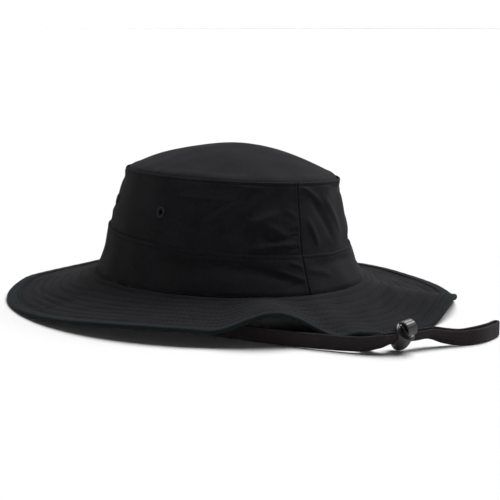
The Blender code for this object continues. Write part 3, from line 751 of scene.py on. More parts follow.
def upper_band_relief(folds):
    def relief(around, up):
        x, y = flat_band(around, up)
        inside = smooth_step(0.0, 4 * MM, up) * smooth_step(UPPER_BAND_HEIGHT, UPPER_BAND_HEIGHT - 3 * MM, up)
        total = (fold_field(folds, x, y) + wave_field(CROWN_WAVES, x, y)) * inside
        total += dip(up - (UPPER_BAND_HEIGHT - TOP_STITCH), 0.8 * MM, 0.28 * MM)
        for middle in (-90.0, 90.0):
            off = from_seam(around, middle)
            total += dip(off, 0.5 * MM, 0.4 * MM) + 0.3 * MM * np.exp(-(((off - 2.0 * MM) / (1.6 * MM)) ** 2))
            total += dip(off - BACK_STITCH, 0.6 * MM, 0.25 * MM)
            pull = np.exp(-((off / (6 * MM)) ** 2)) * np.sin(2 * math.pi * y / (5.5 * MM) + middle)
            total += 0.10 * MM * pull * inside
        return total

    return relief


def half_angles(side, step=0.62):
    """Degrees around one half of the crown, from seam to seam, closer together at the seams."""
    start = -90.0 if side == "left" else 90.0
    near = [SEAM_SLIT, 0.35, 0.65]
    middle = list(np.linspace(1.0, 179.0, int(178 / step)))
    return start + np.array(near + middle + [180.0 - a for a in reversed(near)])


def build_upper_bands():
    rows = list(np.arange(-HEM, UPPER_BAND_HEIGHT - 4 * MM, ROW_STEP))
    rows += list(np.arange(UPPER_BAND_HEIGHT - 4 * MM, UPPER_BAND_HEIGHT, 0.45 * MM))
    rows += list(UPPER_BAND_HEIGHT + SHOULDER * np.linspace(0.0, 1.75, 6))
    made = []
    for side, folds in (("left", UPPER_FOLDS_LEFT), ("right", UPPER_FOLDS_RIGHT)):
        relief = upper_band_relief(in_metres(folds, UPPER_BAND_HEIGHT, UPPER_FOLD))
        o = grid_panel(
            "crown_upper_" + side, half_angles(side), rows, upper_band_place, relief, flat=flat_band
        )
        made.append(o)
    return made


EYELETS = {
    "eyelet_left_back": 20.5,
    "eyelet_left_front": -24.0,
    "eyelet_right_back": 159.5,
    "eyelet_right_front": 204.0,
}
upper_bands = build_upper_bands()
print("upper band halves:", len(upper_bands))

# %% [markdown]
# The lower band's top edge is folded back inside and laps over the upper band's hem.

# %% The lower band
LOWER_STITCH = 1.9 * MM
FOLD_RADIUS = 0.45 * MM
LOWER_FOLDS_LEFT = (
    (24, 0.72, 62, 0.76, 4.2, -0.95),
    (58, 0.70, 84, 0.38, 3.4, -1.05),
    (76, 0.62, 89, 0.36, 1.7, 0.75),
    (80, 0.20, 88, 0.30, 1.8, -0.40),
    (83, 0.84, 89, 0.70, 1.2, 0.60),
    (40, 0.30, 70, 0.34, 4.0, 0.40),
    (-88, 0.70, -70, 0.40, 2.6, 0.70),
    (-66, 0.72, -34, 0.66, 4.0, -0.80),
    (-30, 0.40, 0, 0.50, 4.0, -0.50),
)
LOWER_FOLDS_RIGHT = (
    (92, 0.62, 104, 0.44, 2.2, 0.50),
    (100, 0.74, 135, 0.66, 3.8, -0.60),
    (140, 0.40, 170, 0.52, 4.0, -0.50),
    (186, 0.70, 220, 0.64, 4.0, -0.70),
    (226, 0.34, 250, 0.56, 3.2, 0.60),
    (252, 0.66, 268, 0.42, 2.4, 0.60),
)


def lower_band_place(around, up):
    """The band from the headline up, with its top edge folded back inside."""
    inside = np.clip(up - LOWER_BAND_HEIGHT, 0.0, None)
    share = np.clip(up / LOWER_BAND_HEIGHT, 0.0, 1.0)
    bend = np.clip(inside / FOLD_RADIUS, 0.0, math.pi)
    down = np.clip(inside - math.pi * FOLD_RADIUS, 0.0, None)
    points = band_points("head", "mid", around, share - down / LOWER_BAND_HEIGHT)
    t = np.radians(around)
    outward = np.stack([np.cos(t), np.sin(t), np.zeros_like(t)], axis=-1)
    flare = 1.1 * MM * np.sin(np.pi * share) ** 1.5 * np.clip(1.0 - down / HEM, 0.0, 1.0)
    points = points + outward * (CLOTH / 2 - flare - FOLD_RADIUS * (1.0 - np.cos(bend)))[..., None]
    points[..., 2] += CLOTH + FOLD_RADIUS * np.sin(bend)
    return points


def lower_band_relief(folds):
    def relief(around, up):
        x, y = flat_band(around, up)
        inside = smooth_step(0.0, 3 * MM, up) * smooth_step(LOWER_BAND_HEIGHT, LOWER_BAND_HEIGHT - 3 * MM, up)
        total = (fold_field(folds, x, y) + wave_field(CROWN_WAVES, x, y + 0.05)) * inside
        outer = up < LOWER_BAND_HEIGHT
        total += dip(up - (LOWER_BAND_HEIGHT - LOWER_STITCH), 0.7 * MM, 0.25 * MM) * outer
        total += dip(up, 1.3 * MM, 0.7 * MM)
        for middle in (-90.0, 90.0):
            off = from_seam(around, middle)
            seam = dip(off, 0.5 * MM, 0.4 * MM) + 0.3 * MM * np.exp(-(((off - 2.0 * MM) / (1.6 * MM)) ** 2))
            seam += dip(off - BACK_STITCH, 0.6 * MM, 0.2 * MM)
            total += seam * outer
        return total

    return relief


def build_lower_bands():
    rows = list(np.linspace(0.0, LOWER_BAND_HEIGHT - 3 * MM, 25))
    rows += list(np.arange(LOWER_BAND_HEIGHT - 2.6 * MM, LOWER_BAND_HEIGHT, 0.45 * MM))
    rows += list(LOWER_BAND_HEIGHT + FOLD_RADIUS * np.linspace(0.0, math.pi, 6))
    rows += [LOWER_BAND_HEIGHT + math.pi * FOLD_RADIUS + HEM * k for k in (0.5, 1.0)]
    made = []
    for side, folds in (("left", LOWER_FOLDS_LEFT), ("right", LOWER_FOLDS_RIGHT)):
        relief = lower_band_relief(in_metres(folds, LOWER_BAND_HEIGHT, LOWER_FOLD))
        o = grid_panel(
            "crown_lower_" + side, half_angles(side), rows, lower_band_place, relief,
            flat=flat_band, thickness=0.4 * MM,
        )
        made.append(finish_mesh(o, CROWN_TWILL, nodes=["lower_band_" + side]))
    return made


lower_bands = build_lower_bands()
print("lower band halves:", len(lower_bands))

# %% [markdown]
# ## The top panel
#
# The oval top is drawn tight over the crown by its seam. It is highest a little behind the middle
# and towards the right side, and falls to a narrow groove where it meets the band.

# %% The top panel
PANEL_INSET = 1.9 * MM
GROOVE = 0.9 * MM


def top_panel_place(around, out):
    share = np.clip(out, 0.0, 1.0)[..., None]
    rim = seam_points("top", around, PANEL_INSET)
    middle = np.array([*DOME_PEAK, TOP_HEIGHT])
    points = middle * (1 - share) + rim * share
    points[..., 2] += 1.5 * CLOTH + DOME_RISE * (1.0 - out**DOME_ROUNDNESS)
    return points


def top_panel_flat(around, out):
    t = np.radians(around)
    return TOP_HALF_WIDTH * out * np.cos(t), TOP_HALF_LENGTH * out * np.sin(t)


def top_panel_relief(around, out):
    x, y = top_panel_flat(around, out)
    edge = (1.0 - out) * TOP_HALF_WIDTH
    total = wave_field(CROWN_WAVES, x, y) * smooth_step(1.0, 0.9, out)
    roll = 0.45 * MM * np.exp(-(((edge - 4.0 * MM) / (2.6 * MM)) ** 2))
    total += roll - GROOVE * np.exp(-((edge / (1.2 * MM)) ** 2))
    near_edge = np.exp(-((edge / (5 * MM)) ** 2))
    pull = np.sin(2 * math.pi * np.radians(around) * TOP_HALF_WIDTH / (9 * MM)) * near_edge
    return total + 0.07 * MM * pull


outs = [1.0, 0.994, 0.988, 0.98, 0.97, 0.96] + list(np.linspace(0.945, 0.0, 56))
top_panel = grid_panel(
    "crown_top_panel", np.linspace(0.0, 360.0, 361), outs, top_panel_place, top_panel_relief,
    closed=True, flat=top_panel_flat,
)
finish_mesh(top_panel, CROWN_TWILL, nodes=["top_panel"])

# %% [markdown]
# ## The brim
#
# Rows of stitches go round the brim to stiffen it. Each row draws the two layers together, so the
# cloth dips along it and stands a little between the rows. The rows are what makes this brim look
# like a brim, so the dips are in the mesh, and each stitch is a small piece of thread.

# %% The brim's two layers
FIRST_ROW = 5.0 * MM
ROW_PITCH = 6.6 * MM
STITCH_ROWS = [FIRST_ROW + ROW_PITCH * i for i in range(8)]
ROW_DIP = 0.30 * MM
STIFFENER_THICKNESS = 0.22 * MM
BRIM_COLUMNS = 640


def brim_flat(around, reach):
    return np.radians(around) * (MEAN_RADIUS + reach), reach


def brim_waves(around, reach):
    """The slow waves, which all the brim's layers share."""
    return wave_field(BRIM_WAVES, *brim_flat(around, reach)) * smooth_step(0.0, 6 * MM, reach)


def brim_relief(around, reach):
    x, y = brim_flat(around, reach)
    total = brim_waves(around, reach)
    pucker = np.zeros_like(reach)
    for row in STITCH_ROWS:
        total += dip(reach - row, 0.85 * MM, ROW_DIP)
        near_row = np.exp(-(((reach - row) / (1.8 * MM)) ** 2))
        pucker += near_row * np.sin(2 * math.pi * x / (7.3 * MM) + 900 * row)
    total += 0.06 * MM * pucker
    total += dip(reach, 1.0 * MM, 0.5 * MM) + 0.25 * MM * np.exp(-(((reach - 2.6 * MM) / (1.5 * MM)) ** 2))
    return total


def under_relief(around, reach):
    """The under cloth faces down, so the shared waves are turned over."""
    rows = sum(dip(reach - row, 0.85 * MM, 0.6 * ROW_DIP) for row in STITCH_ROWS)
    return rows - brim_waves(around, reach)


def under_place(around, reach):
    """The under cloth's lower face, which doesn't sink at the edge."""
    rise = EDGE_SINK * smooth_step(0.75, 1.0, reach / BRIM_REACH)
    return brim_points(around, reach, LAYERS_BELOW + CLOTH - rise)


def stiffener_place(around, reach):
    """Half way between the inner faces of the two cloths."""
    rise = EDGE_SINK * smooth_step(0.75, 1.0, reach / BRIM_REACH)
    return brim_points(around, reach, (CLOTH + LAYERS_BELOW - STIFFENER_THICKNESS - rise) / 2)


def brim_reaches():
    reaches = {-0.5 * MM, 0.0, 0.8 * MM, 1.6 * MM, 2.6 * MM, 3.4 * MM}
    for row in STITCH_ROWS:
        reaches |= {row + off * MM for off in (-0.9, 0.0, 0.9, 2.2, 3.3, 4.5)}
    return sorted(r for r in reaches | {BRIM_REACH - 0.6 * MM, BRIM_REACH} if r <= BRIM_REACH)


def build_brim():
    around = np.linspace(0.0, 360.0, BRIM_COLUMNS + 1)
    reaches = brim_reaches()
    top = grid_panel(
        "brim_upper_cloth", around, reaches[::-1], brim_points, brim_relief, closed=True, flat=brim_flat
    )
    finish_mesh(top, BRIM_TWILL_PAINTED_SHADE, nodes=["brim_top"])
    under = grid_panel(
        "brim_under_cloth", around, reaches, under_place, under_relief, closed=True, flat=brim_flat
    )
    finish_mesh(under, BRIM_TWILL_PAINTED_SHADE, nodes=["brim_underside"])
    inner = [r for r in reaches[::-1] if MM < r < BRIM_REACH - MM]
    stiffener = grid_panel(
        "brim_stiffener_layer", around[::2], inner, stiffener_place, brim_waves, closed=True,
        thickness=STIFFENER_THICKNESS, flat=brim_flat,
    )
    finish_mesh(stiffener, STIFFENER, nodes=["brim_interlining"])


build_brim()
print("stitch rows on the brim:", len(STITCH_ROWS))

# %% [markdown]
# ## The binding
#
# A tape cut on the bias is folded over the brim's edge and sewn down. It is a little thicker than
# the cloth, so its inner edge shows as a step all the way round, and its two ends are lapped over
# each other near the back.

# %% The edge binding
BINDING_STAND = 0.75 * MM
BINDING_ROUND = 1.25 * MM
BINDING_STITCH = 1.3 * MM
LAP_PLACE = 86.0
LAP_LENGTH = 3.4


def binding_profile():
    """(reach, height over the brim's upper face, share of the way to the underside) from the top in."""
    inner = BRIM_REACH - BINDING_WIDTH
    rows = [(inner, -0.15 * MM), (inner, 0.35 * MM), (inner + 0.35 * MM, BINDING_STAND)]
    rows += [(inner + off * MM, BINDING_STAND) for off in (0.8, 1.3, 1.8, 2.6, 3.6, 4.6, 5.5, 6.2)]
    return rows


def build_binding():
    top = binding_profile()
    turns = np.linspace(0.0, math.pi, 9)
    count = len(top)
    levels = np.arange(2 * count + len(turns))

    def place(around, level):
        points = np.zeros((*around.shape, 3))
        bottom_edge = edge_lift(around)
        for i in range(len(levels)):
            here = around[i]
            t = np.radians(here)
            if i < count:
                reach, over = top[i]
                row = brim_points(here, np.full_like(here, reach))
                row[..., 2] += over
            elif i < count + len(turns):
                turn = turns[i - count]
                high = brim_points(here, np.full_like(here, BRIM_REACH - 0.6 * MM))[..., 2] + BINDING_STAND
                low = bottom_edge[i]
                radius = (high - low) / 2
                reach = BRIM_REACH - 0.6 * MM + BINDING_ROUND * math.sin(turn)
                x = (HEAD_HALF_WIDTH + reach) * np.cos(t)
                y = (HEAD_HALF_LENGTH + reach) * np.sin(t)
                row = np.stack([x, y, (high + low) / 2 + radius * math.cos(turn)], axis=-1)
            else:
                reach, over = top[2 * count + len(turns) - 1 - i]
                row = brim_points(here, np.full_like(here, reach))
                row[..., 2] = bottom_edge[i] + (BINDING_STAND - over)
            points[i] = row
        return points

    def relief(around, level):
        x = np.radians(around) * (MEAN_RADIUS + BRIM_REACH)
        total = 0.05 * MM * np.sin(2 * math.pi * x / (11 * MM))
        total = total + 0.04 * MM * np.sin(2 * math.pi * x / (31 * MM))
        from_lap = (around - LAP_PLACE) % 360.0
        lapped = smooth_step(0.0, 0.25, from_lap) * smooth_step(LAP_LENGTH + 0.25, LAP_LENGTH, from_lap)
        above = smooth_step(count + 4, count, level)
        flange = np.isin(level, [4, 2 * count + len(turns) - 5])
        return (total + 0.5 * MM * lapped) * above - 0.22 * MM * flange

    def flat(around, level):
        return np.radians(around) * (MEAN_RADIUS + BRIM_REACH), level * 0.8 * MM

    o = grid_panel(
        "brim_edge_binding", np.linspace(0.0, 360.0, 901), levels[::-1], lambda a, k: place(a[::-1], k)[::-1],
        lambda a, k: relief(a, k), closed=True, thickness=0.4 * MM, flat=flat,
    )
    return finish_mesh(o, BIAS_TWILL, nodes=["edge_binding"])


binding = build_binding()

# %% [markdown]
# ## Stitches
#
# One stitch is a short, fat thread that sinks into the cloth at both ends. It is modelled once,
# from a small sphere, and copied along every seam, with the points of each row read from the same
# functions that place the cloth.

# %% Rows of thread
STITCH_LENGTH = 1.9 * MM
STITCH_PITCH = 3.1 * MM
THREAD_RADIUS = 0.2 * MM


def stitch_form():
    """The points and faces of one stitch, lying along X and rising towards Z."""
    deselect()
    bpy.ops.mesh.primitive_uv_sphere_add(segments=6, ring_count=5, radius=1.0)
    o = bpy.context.object
    bpy.ops.object.mode_set(mode="EDIT")
    bpy.ops.mesh.select_all(action="SELECT")
    bpy.ops.transform.rotate(value=math.pi / 2, orient_axis="Y", center_override=(0.0, 0.0, 0.0))
    bpy.ops.transform.resize(value=(STITCH_LENGTH / 2, THREAD_RADIUS, THREAD_RADIUS))
    bpy.ops.object.mode_set(mode="OBJECT")
    points = np.array([tuple(v.co) for v in o.data.vertices])
    faces = [tuple(p.vertices) for p in o.data.polygons]
    bpy.data.objects.remove(o, do_unlink=True)
    return points, faces


STITCH_POINTS, STITCH_FACES = stitch_form()


def rows_of_stitches(name, lines, sink=0.06 * MM, pitch=STITCH_PITCH, grow=1.0):
    """Stitches along lines, each given as (points, outward directions), joined in one piece."""
    points, faces = [], []
    for line, out in lines:
        line, out = np.asarray(line), np.asarray(out)
        lengths = np.concatenate([[0.0], np.cumsum(np.linalg.norm(np.diff(line, axis=0), axis=1))])
        for at in np.arange(pitch / 2, lengths[-1], pitch):
            ends = [
                np.array([np.interp(p, lengths, line[:, k]) for k in range(3)]) for p in (at - MM, at + MM)
            ]
            up = np.array([np.interp(at, lengths, out[:, k]) for k in range(3)])
            way = ends[1] - ends[0]
            way /= np.linalg.norm(way)
            side = np.cross(up, way)
            side /= np.linalg.norm(side)
            up = np.cross(way, side)
            centre = (ends[0] + ends[1]) / 2 + up * (THREAD_RADIUS * 0.5 - sink)
            start = len(points)
            shape = STITCH_POINTS * grow
            points.extend(centre + shape[:, :1] * way + shape[:, 1:2] * side + shape[:, 2:] * up)
            faces.extend(tuple(start + i for i in f) for f in STITCH_FACES)
    mesh = bpy.data.meshes.new(name)
    mesh.from_pydata([tuple(p) for p in points], [], faces)
    o = bpy.data.objects.new(name, mesh)
    bpy.context.scene.collection.objects.link(o)
    print(name, len(faces) // len(STITCH_FACES), "stitches")
    return finish_mesh(o, THREAD_WITH_PAINTED_SHADE, angle=180.0)


def line_on(place, relief, s, t, flip=1.0):
    """Points and outward directions along one line of a panel."""
    s, t = np.broadcast_arrays(np.asarray(s, float), np.asarray(t, float))
    ds = 0.02
    step = 0.2 * MM
    here = place(s, t)
    along = place(s + ds, t) - here
    up = place(s, t + step) - here
    out = np.cross(along, up) * flip
    out /= np.linalg.norm(out, axis=-1, keepdims=True)
    return here + out * relief(s, t)[..., None], out


def crown_stitching():
    left = upper_band_relief(in_metres(UPPER_FOLDS_LEFT, UPPER_BAND_HEIGHT, UPPER_FOLD))
    right = upper_band_relief(in_metres(UPPER_FOLDS_RIGHT, UPPER_BAND_HEIGHT, UPPER_FOLD))
    lower = {
        "left": lower_band_relief(in_metres(LOWER_FOLDS_LEFT, LOWER_BAND_HEIGHT, LOWER_FOLD)),
        "right": lower_band_relief(in_metres(LOWER_FOLDS_RIGHT, LOWER_BAND_HEIGHT, LOWER_FOLD)),
    }
    lines = []
    for side, relief in (("left", left), ("right", right)):
        angles = half_angles(side)[3:-3]
        lines.append(line_on(upper_band_place, relief, angles, UPPER_BAND_HEIGHT - TOP_STITCH))
        lines.append(line_on(lower_band_place, lower[side], angles, LOWER_BAND_HEIGHT - LOWER_STITCH))
    beside_seam = math.degrees(BACK_STITCH / MEAN_RADIUS)
    for middle in (-90.0, 90.0):
        heights = np.arange(3 * MM, UPPER_BAND_HEIGHT - 3.5 * MM, MM)
        relief = right if middle == 90.0 else left
        lines.append(line_on(upper_band_place, relief, middle + beside_seam, heights))
        heights = np.arange(2 * MM, LOWER_BAND_HEIGHT - 3.2 * MM, MM)
        side = "right" if middle == 90.0 else "left"
        lines.append(line_on(lower_band_place, lower[side], middle + beside_seam, heights))
    return rows_of_stitches("crown_topstitching", lines)


def brim_stitching():
    around = np.linspace(0.0, 360.0, 721)
    top, under = [], []
    for row in STITCH_ROWS:
        top.append(line_on(brim_points, brim_relief, around, row, flip=-1.0))
        under.append(line_on(under_place, under_relief, around, row))
    rows_of_stitches("brim_stitching_above", top)
    rows_of_stitches("brim_stitching_below", under)
    reach = BRIM_REACH - BINDING_WIDTH + BINDING_STITCH
    points, out = line_on(brim_points, lambda a, r: 0.0 * r, around, reach, flip=-1.0)
    rows_of_stitches("binding_stitching", [(points + out * (BINDING_STAND - 0.2 * MM), out)])


crown_stitching()
brim_stitching()

# %% [markdown]
# ## The ventilation eyelets
#
# Two small holes on each side are bound with satin stitch: thread laid side by side over the
# edge of the hole. A ring whose surface rises and falls 44 times gives those threads.

# %% Eyelets
EYELET_RADIUS = 3.6 * MM
EYELET_HOLE = 1.5 * MM
SATIN_THREADS = 44


def eyelet_matrix(around):
    """Where an eyelet sits: its Z points out of the band."""
    up = 0.48 * UPPER_BAND_HEIGHT
    points, out = line_on(upper_band_place, lambda a, u: 0.0 * u, [around, around + 1.0], up)
    here, z = Vector(points[0]), Vector(out[0])
    x = (Vector(points[1]) - here).normalized()
    y = z.cross(x)
    return Matrix.Translation(here) @ Matrix((x, y, z)).transposed().to_4x4()


def build_eyelet(name, around):
    deselect()
    middle = (EYELET_RADIUS + EYELET_HOLE) / 2
    bpy.ops.mesh.primitive_torus_add(
        major_segments=SATIN_THREADS * 6, minor_segments=14, major_radius=middle,
        minor_radius=(EYELET_RADIUS - EYELET_HOLE) / 2,
    )
    o = bpy.context.object
    o.name = o.data.name = "satin_stitched_" + name
    for v in o.data.vertices:
        turn = math.atan2(v.co.y, v.co.x)
        thread = abs(math.sin(turn * SATIN_THREADS / 2)) ** 0.6
        radial = math.hypot(v.co.x, v.co.y) - middle
        height = v.co.z * 0.95 + 0.10 * MM
        if v.co.z > 0:
            height += 0.16 * MM * (thread - 0.6)
        grow = 1.0 + 0.02 * math.sin(3 * turn + around)
        reach = (middle + radial * (0.94 + 0.08 * thread)) * grow
        v.co = Vector((reach * math.cos(turn), reach * math.sin(turn), height))
    o.data.transform(eyelet_matrix(around))
    return finish_mesh(o, SATIN_THREAD, nodes=[name], angle=180.0)


def cut_eyelet_holes(band, angles):
    for around in angles:
        deselect()
        bpy.ops.mesh.primitive_cylinder_add(vertices=24, radius=EYELET_HOLE * 1.05, depth=8 * MM)
        cutter = bpy.context.object
        cutter.data.transform(eyelet_matrix(around))
        apply_modifier(band, "BOOLEAN", object=cutter, operation="DIFFERENCE", solver="EXACT")
        bpy.data.objects.remove(cutter, do_unlink=True)


for name, around in EYELETS.items():
    build_eyelet(name, around)
for band, side in zip(upper_bands, ("left", "right")):
    cut_eyelet_holes(band, [a for n, a in EYELETS.items() if side in n])
    finish_mesh(band, CROWN_TWILL, nodes=["upper_band_" + side])

# %% [markdown]
# ## Inside the crown
#
# A soft band lies against the forehead, and tape covers the raw edges of the seams.

# %% Sweatband and seam tapes
SWEATBAND_WIDTH = 32.0 * MM
SWEATBAND_THICKNESS = 1.0 * MM
SEAM_TAPE_WIDTH = 9.0 * MM
SEAM_TAPE = 0.4 * MM


def inner_place(inset):
    """Points inside the crown, this far in from its seams: up is measured from the headline."""

    def place(around, up):
        low = np.clip(up / LOWER_BAND_HEIGHT, 0.0, 1.0)
        high = np.clip((up - LOWER_BAND_HEIGHT) / UPPER_BAND_HEIGHT, 0.0, 1.0)
        lower = band_points("head", "mid", around, low, inset)
        upper = band_points("mid", "top", around, high, inset)
        return np.where((up > LOWER_BAND_HEIGHT)[..., None], upper, lower)

    return place


def soft_ribs(around, up):
    x, y = flat_band(around, up)
    return wave_field(CROWN_WAVES, x, y) * 0.5 + 0.03 * MM * np.sin(2 * math.pi * up / (2.4 * MM))


def build_inside():
    inset = LAP_STEP + CLOTH + 2 * GAP
    heights = np.linspace(CLOTH, SWEATBAND_WIDTH, 60)
    band = grid_panel(
        "inner_sweatband", np.linspace(0.0, 360.0, 421), heights, inner_place(inset), soft_ribs,
        closed=True, thickness=SWEATBAND_THICKNESS, flat=flat_band,
    )
    finish_mesh(band, BAND_CLOTH, nodes=["sweatband"])
    inset = LAP_STEP + CLOTH / 2 + GAP
    top = LOWER_BAND_HEIGHT + UPPER_BAND_HEIGHT
    heights = np.linspace(top - SEAM_TAPE_WIDTH - 1.5 * MM, top - 1.5 * MM, 16)
    tape = grid_panel(
        "top_seam_covering_tape", np.linspace(0.0, 360.0, 361), heights, inner_place(inset), soft_ribs,
        closed=True, thickness=SEAM_TAPE, flat=flat_band,
    )
    finish_mesh(tape, BAND_CLOTH, nodes=["top_seam_tape"])
    half = math.degrees(SEAM_TAPE_WIDTH / 2 / MID_HALF_WIDTH)
    heights = np.linspace(SWEATBAND_WIDTH + 6 * MM, top - SEAM_TAPE_WIDTH - 2.7 * MM, 24)
    for name, middle in (("front", -90.0), ("back", 90.0)):
        upright = grid_panel(
            name + "_seam_covering_tape", np.linspace(middle - half, middle + half, 12), heights,
            inner_place(inset), soft_ribs, thickness=SEAM_TAPE, flat=flat_band,
        )
        finish_mesh(upright, BAND_CLOTH, nodes=[name + "_seam_tape"])


build_inside()

# %% [markdown]
# ## The chin strap
#
# The braid is flat, with columns of strands that make low ribs along it. Its cross-section is
# drawn once, with those ribs, and carried along the smooth line with the tape's lean.

# %% The braided strap
RIB_HEIGHT = 0.16 * MM
STRAP_COLUMNS = 8


def strap_section():
    """Points round the tape's cross-section: (across, through, distance round for the UV map)."""
    half, thick = STRAP_WIDTH / 2, STRAP_THICKNESS / 2
    side = np.linspace(-1.0, 1.0, STRAP_COLUMNS * 5 + 1)
    edge = np.clip(1.0 - np.abs(side) ** 12, 0.0, 1.0)
    ribs = np.abs(np.sin(side * STRAP_COLUMNS * math.pi / 2)) - 0.75
    face = thick * (0.62 + 0.38 * edge) + RIB_HEIGHT * ribs
    front = [(half * s, f) for s, f in zip(side, face)]
    back = [(half * s, -f) for s, f in zip(side[::-1], face[::-1])]
    return np.array(front + back)


def ribbon(name, line, section, u_across):
    """A tape swept along points with a lean: x, y, z, degrees to the right of travel."""
    places = line[:, :3]
    ways = np.gradient(places, axis=0)
    ways /= np.linalg.norm(ways, axis=1, keepdims=True)
    upright = np.array([0.0, 0.0, 1.0])
    right = np.cross(ways, upright)
    right /= np.linalg.norm(right, axis=1, keepdims=True)
    over = np.cross(right, ways)
    tip = np.radians(line[:, 3:4])
    width_way = over * np.cos(tip) + right * np.sin(tip)
    face_way = right * np.cos(tip) - over * np.sin(tip)
    count, rows = len(section), len(line)
    grid = (
        places[:, None]
        + width_way[:, None] * section[None, :, :1]
        + face_way[:, None] * section[None, :, 1:]
    )
    mesh = bpy.data.meshes.new(name)
    faces = []
    for i in range(rows - 1):
        for j in range(count):
            k = (j + 1) % count
            faces.append((i * count + j, i * count + k, (i + 1) * count + k, (i + 1) * count + j))
    faces.append(tuple(range(count))[::-1])
    faces.append(tuple((rows - 1) * count + j for j in range(count)))
    mesh.from_pydata([tuple(p) for p in grid.reshape(-1, 3)], [], faces)
    travel = np.concatenate([[0.0], np.cumsum(np.linalg.norm(np.diff(places, axis=0), axis=1))])
    uv = mesh.uv_layers.new(name="cloth")
    corner = np.zeros(len(mesh.loops), np.int32)
    mesh.loops.foreach_get("vertex_index", corner)
    cut = np.stack([np.tile(u_across, rows), np.repeat(travel, count)], axis=-1)
    uv.data.foreach_set("uv", cut[corner].astype(np.float32).ravel())
    o = bpy.data.objects.new(name, mesh)
    bpy.context.scene.collection.objects.link(o)
    deselect()
    bpy.context.view_layer.objects.active = o
    o.select_set(True)
    bpy.ops.object.mode_set(mode="EDIT")
    bpy.ops.mesh.select_all(action="SELECT")
    bpy.ops.mesh.normals_make_consistent(inside=False)
    bpy.ops.object.mode_set(mode="OBJECT")
    return o


section = strap_section()
across = section[:, 0] + STRAP_WIDTH / 2
strap = ribbon("chin_strap_braid", STRAP_LINE, section, across)
finish_mesh(strap, BRAID, nodes=["chin_strap"], angle=60.0)

# %% [markdown]
# Each end of the braid is turned up inside the headline, where the seam catches it.

# %% The strap's sewn ends
def build_anchor(side):
    """The tape turned up behind its first point, to be caught in the headline seam."""
    node = "strap_anchor_" + side
    low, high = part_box(node)
    x = (low.x + high.x) / 2
    y = (low.y + high.y) / 2
    half, thick = (high.y - low.y) / 2, (high.x - low.x) / 2
    heights = np.linspace(low.z, high.z, 30)
    side_way = np.linspace(-1.0, 1.0, 41)
    face = thick + 0.3 * RIB_HEIGHT * (np.abs(np.sin(side_way * STRAP_COLUMNS * math.pi / 2)) - 0.75)
    front = [(half * s, f) for s, f in zip(side_way, face)]
    back = [(half * s, -f) for s, f in zip(side_way[::-1], face[::-1])]
    shape = np.array(front + back)
    mesh = bpy.data.meshes.new("sewn_" + node)
    count = len(shape)
    points = [(x + f, y + s, z) for z in heights for s, f in shape]
    faces = []
    for i in range(len(heights) - 1):
        for j in range(count):
            k = (j + 1) % count
            faces.append((i * count + j, i * count + k, (i + 1) * count + k, (i + 1) * count + j))
    faces += [tuple(range(count))[::-1], tuple((len(heights) - 1) * count + j for j in range(count))]
    mesh.from_pydata(points, [], faces)
    uv = mesh.uv_layers.new(name="cloth")
    for loop in mesh.loops:
        at = mesh.vertices[loop.vertex_index].co
        uv.data[loop.index].uv = (at.y - y + half, at.z)
    o = bpy.data.objects.new("sewn_" + node, mesh)
    bpy.context.scene.collection.objects.link(o)
    deselect()
    bpy.context.view_layer.objects.active = o
    o.select_set(True)
    bpy.ops.object.mode_set(mode="EDIT")
    bpy.ops.mesh.select_all(action="SELECT")
    bpy.ops.mesh.normals_make_consistent(inside=False)
    bpy.ops.object.mode_set(mode="OBJECT")
    return finish_mesh(o, BRAID, nodes=[node])


for side in ("left", "right"):
    build_anchor(side)

# %% [markdown]
# ## The cord lock
#
# The lock is moulded in two pieces. The body is a rounded bulb with a rim, and the strap's two
# layers go through a slot in it. The plunger stands in the rim on two legs that reach past the
# strap to a foot below it, and a spring pushes it up, so the foot pinches the strap. Pressing the
# hooded thumb piece frees the strap. Each piece is cut from a swollen sphere, remeshed finely and
# smoothed, which rounds its edges as a mould does.

# %% Lock sizes
SLOT_HALF_HEIGHT = 4.9 * MM
SLOT_HALF_WIDTH = 2.05 * MM
LEG_OUTSIDE = 3.35 * MM
FOOT_LOW = -5.8 * MM
CHANNEL_FLOOR = -7.9 * MM
RIM = 5.7 * MM
BULB_MIDDLE = -1.05 * MM
LOCK_HALF_DEPTH = 5.0 * MM
LOCK_HALF_WIDTH = 6.2 * MM
LOCK_HALF_HEIGHT = 8.25 * MM
PLUNGER_HALF_DEPTH = 2.1 * MM
CAP_LOW = 7.8 * MM
CAP_HALF_WIDTH = 4.8 * MM
CAP_HALF_DEPTH = 3.4 * MM
LOCK_VOXEL = 0.16 * MM


def add_block(low, high):
    """A box between two corners, in the lock's own frame."""
    deselect()
    low, high = Vector(low), Vector(high)
    bpy.ops.mesh.primitive_cube_add(size=1.0, location=(low + high) / 2, scale=high - low)
    bpy.ops.object.transform_apply(location=True, rotation=True, scale=True)
    return bpy.context.object


def add_bulge(half_sizes, middle, power=3.0):
    """A sphere swollen towards the corners of its box."""
    deselect()
    bpy.ops.mesh.primitive_uv_sphere_add(segments=64, ring_count=40, radius=1.0)
    o = bpy.context.object
    for v in o.data.vertices:
        reach = sum(abs(c) ** power for c in v.co) ** (-1 / power)
        v.co = Vector([c * reach * half for c, half in zip(v.co, half_sizes)]) + Vector((0, 0, middle))
    return o


def add_round(radius, depth, middle, direction, vertices=48):
    """A cylinder with its axis along direction, in the lock's own frame."""
    deselect()
    turn = Vector(direction).to_track_quat("Z", "Y").to_euler()
    bpy.ops.mesh.primitive_cylinder_add(
        vertices=vertices, radius=radius, depth=depth, location=middle, rotation=turn
    )
    bpy.ops.object.transform_apply(location=True, rotation=True, scale=True)
    return bpy.context.object


def combine(o, other, operation):
    apply_modifier(o, "BOOLEAN", object=other, operation=operation, solver="EXACT")
    bpy.data.objects.remove(other, do_unlink=True)


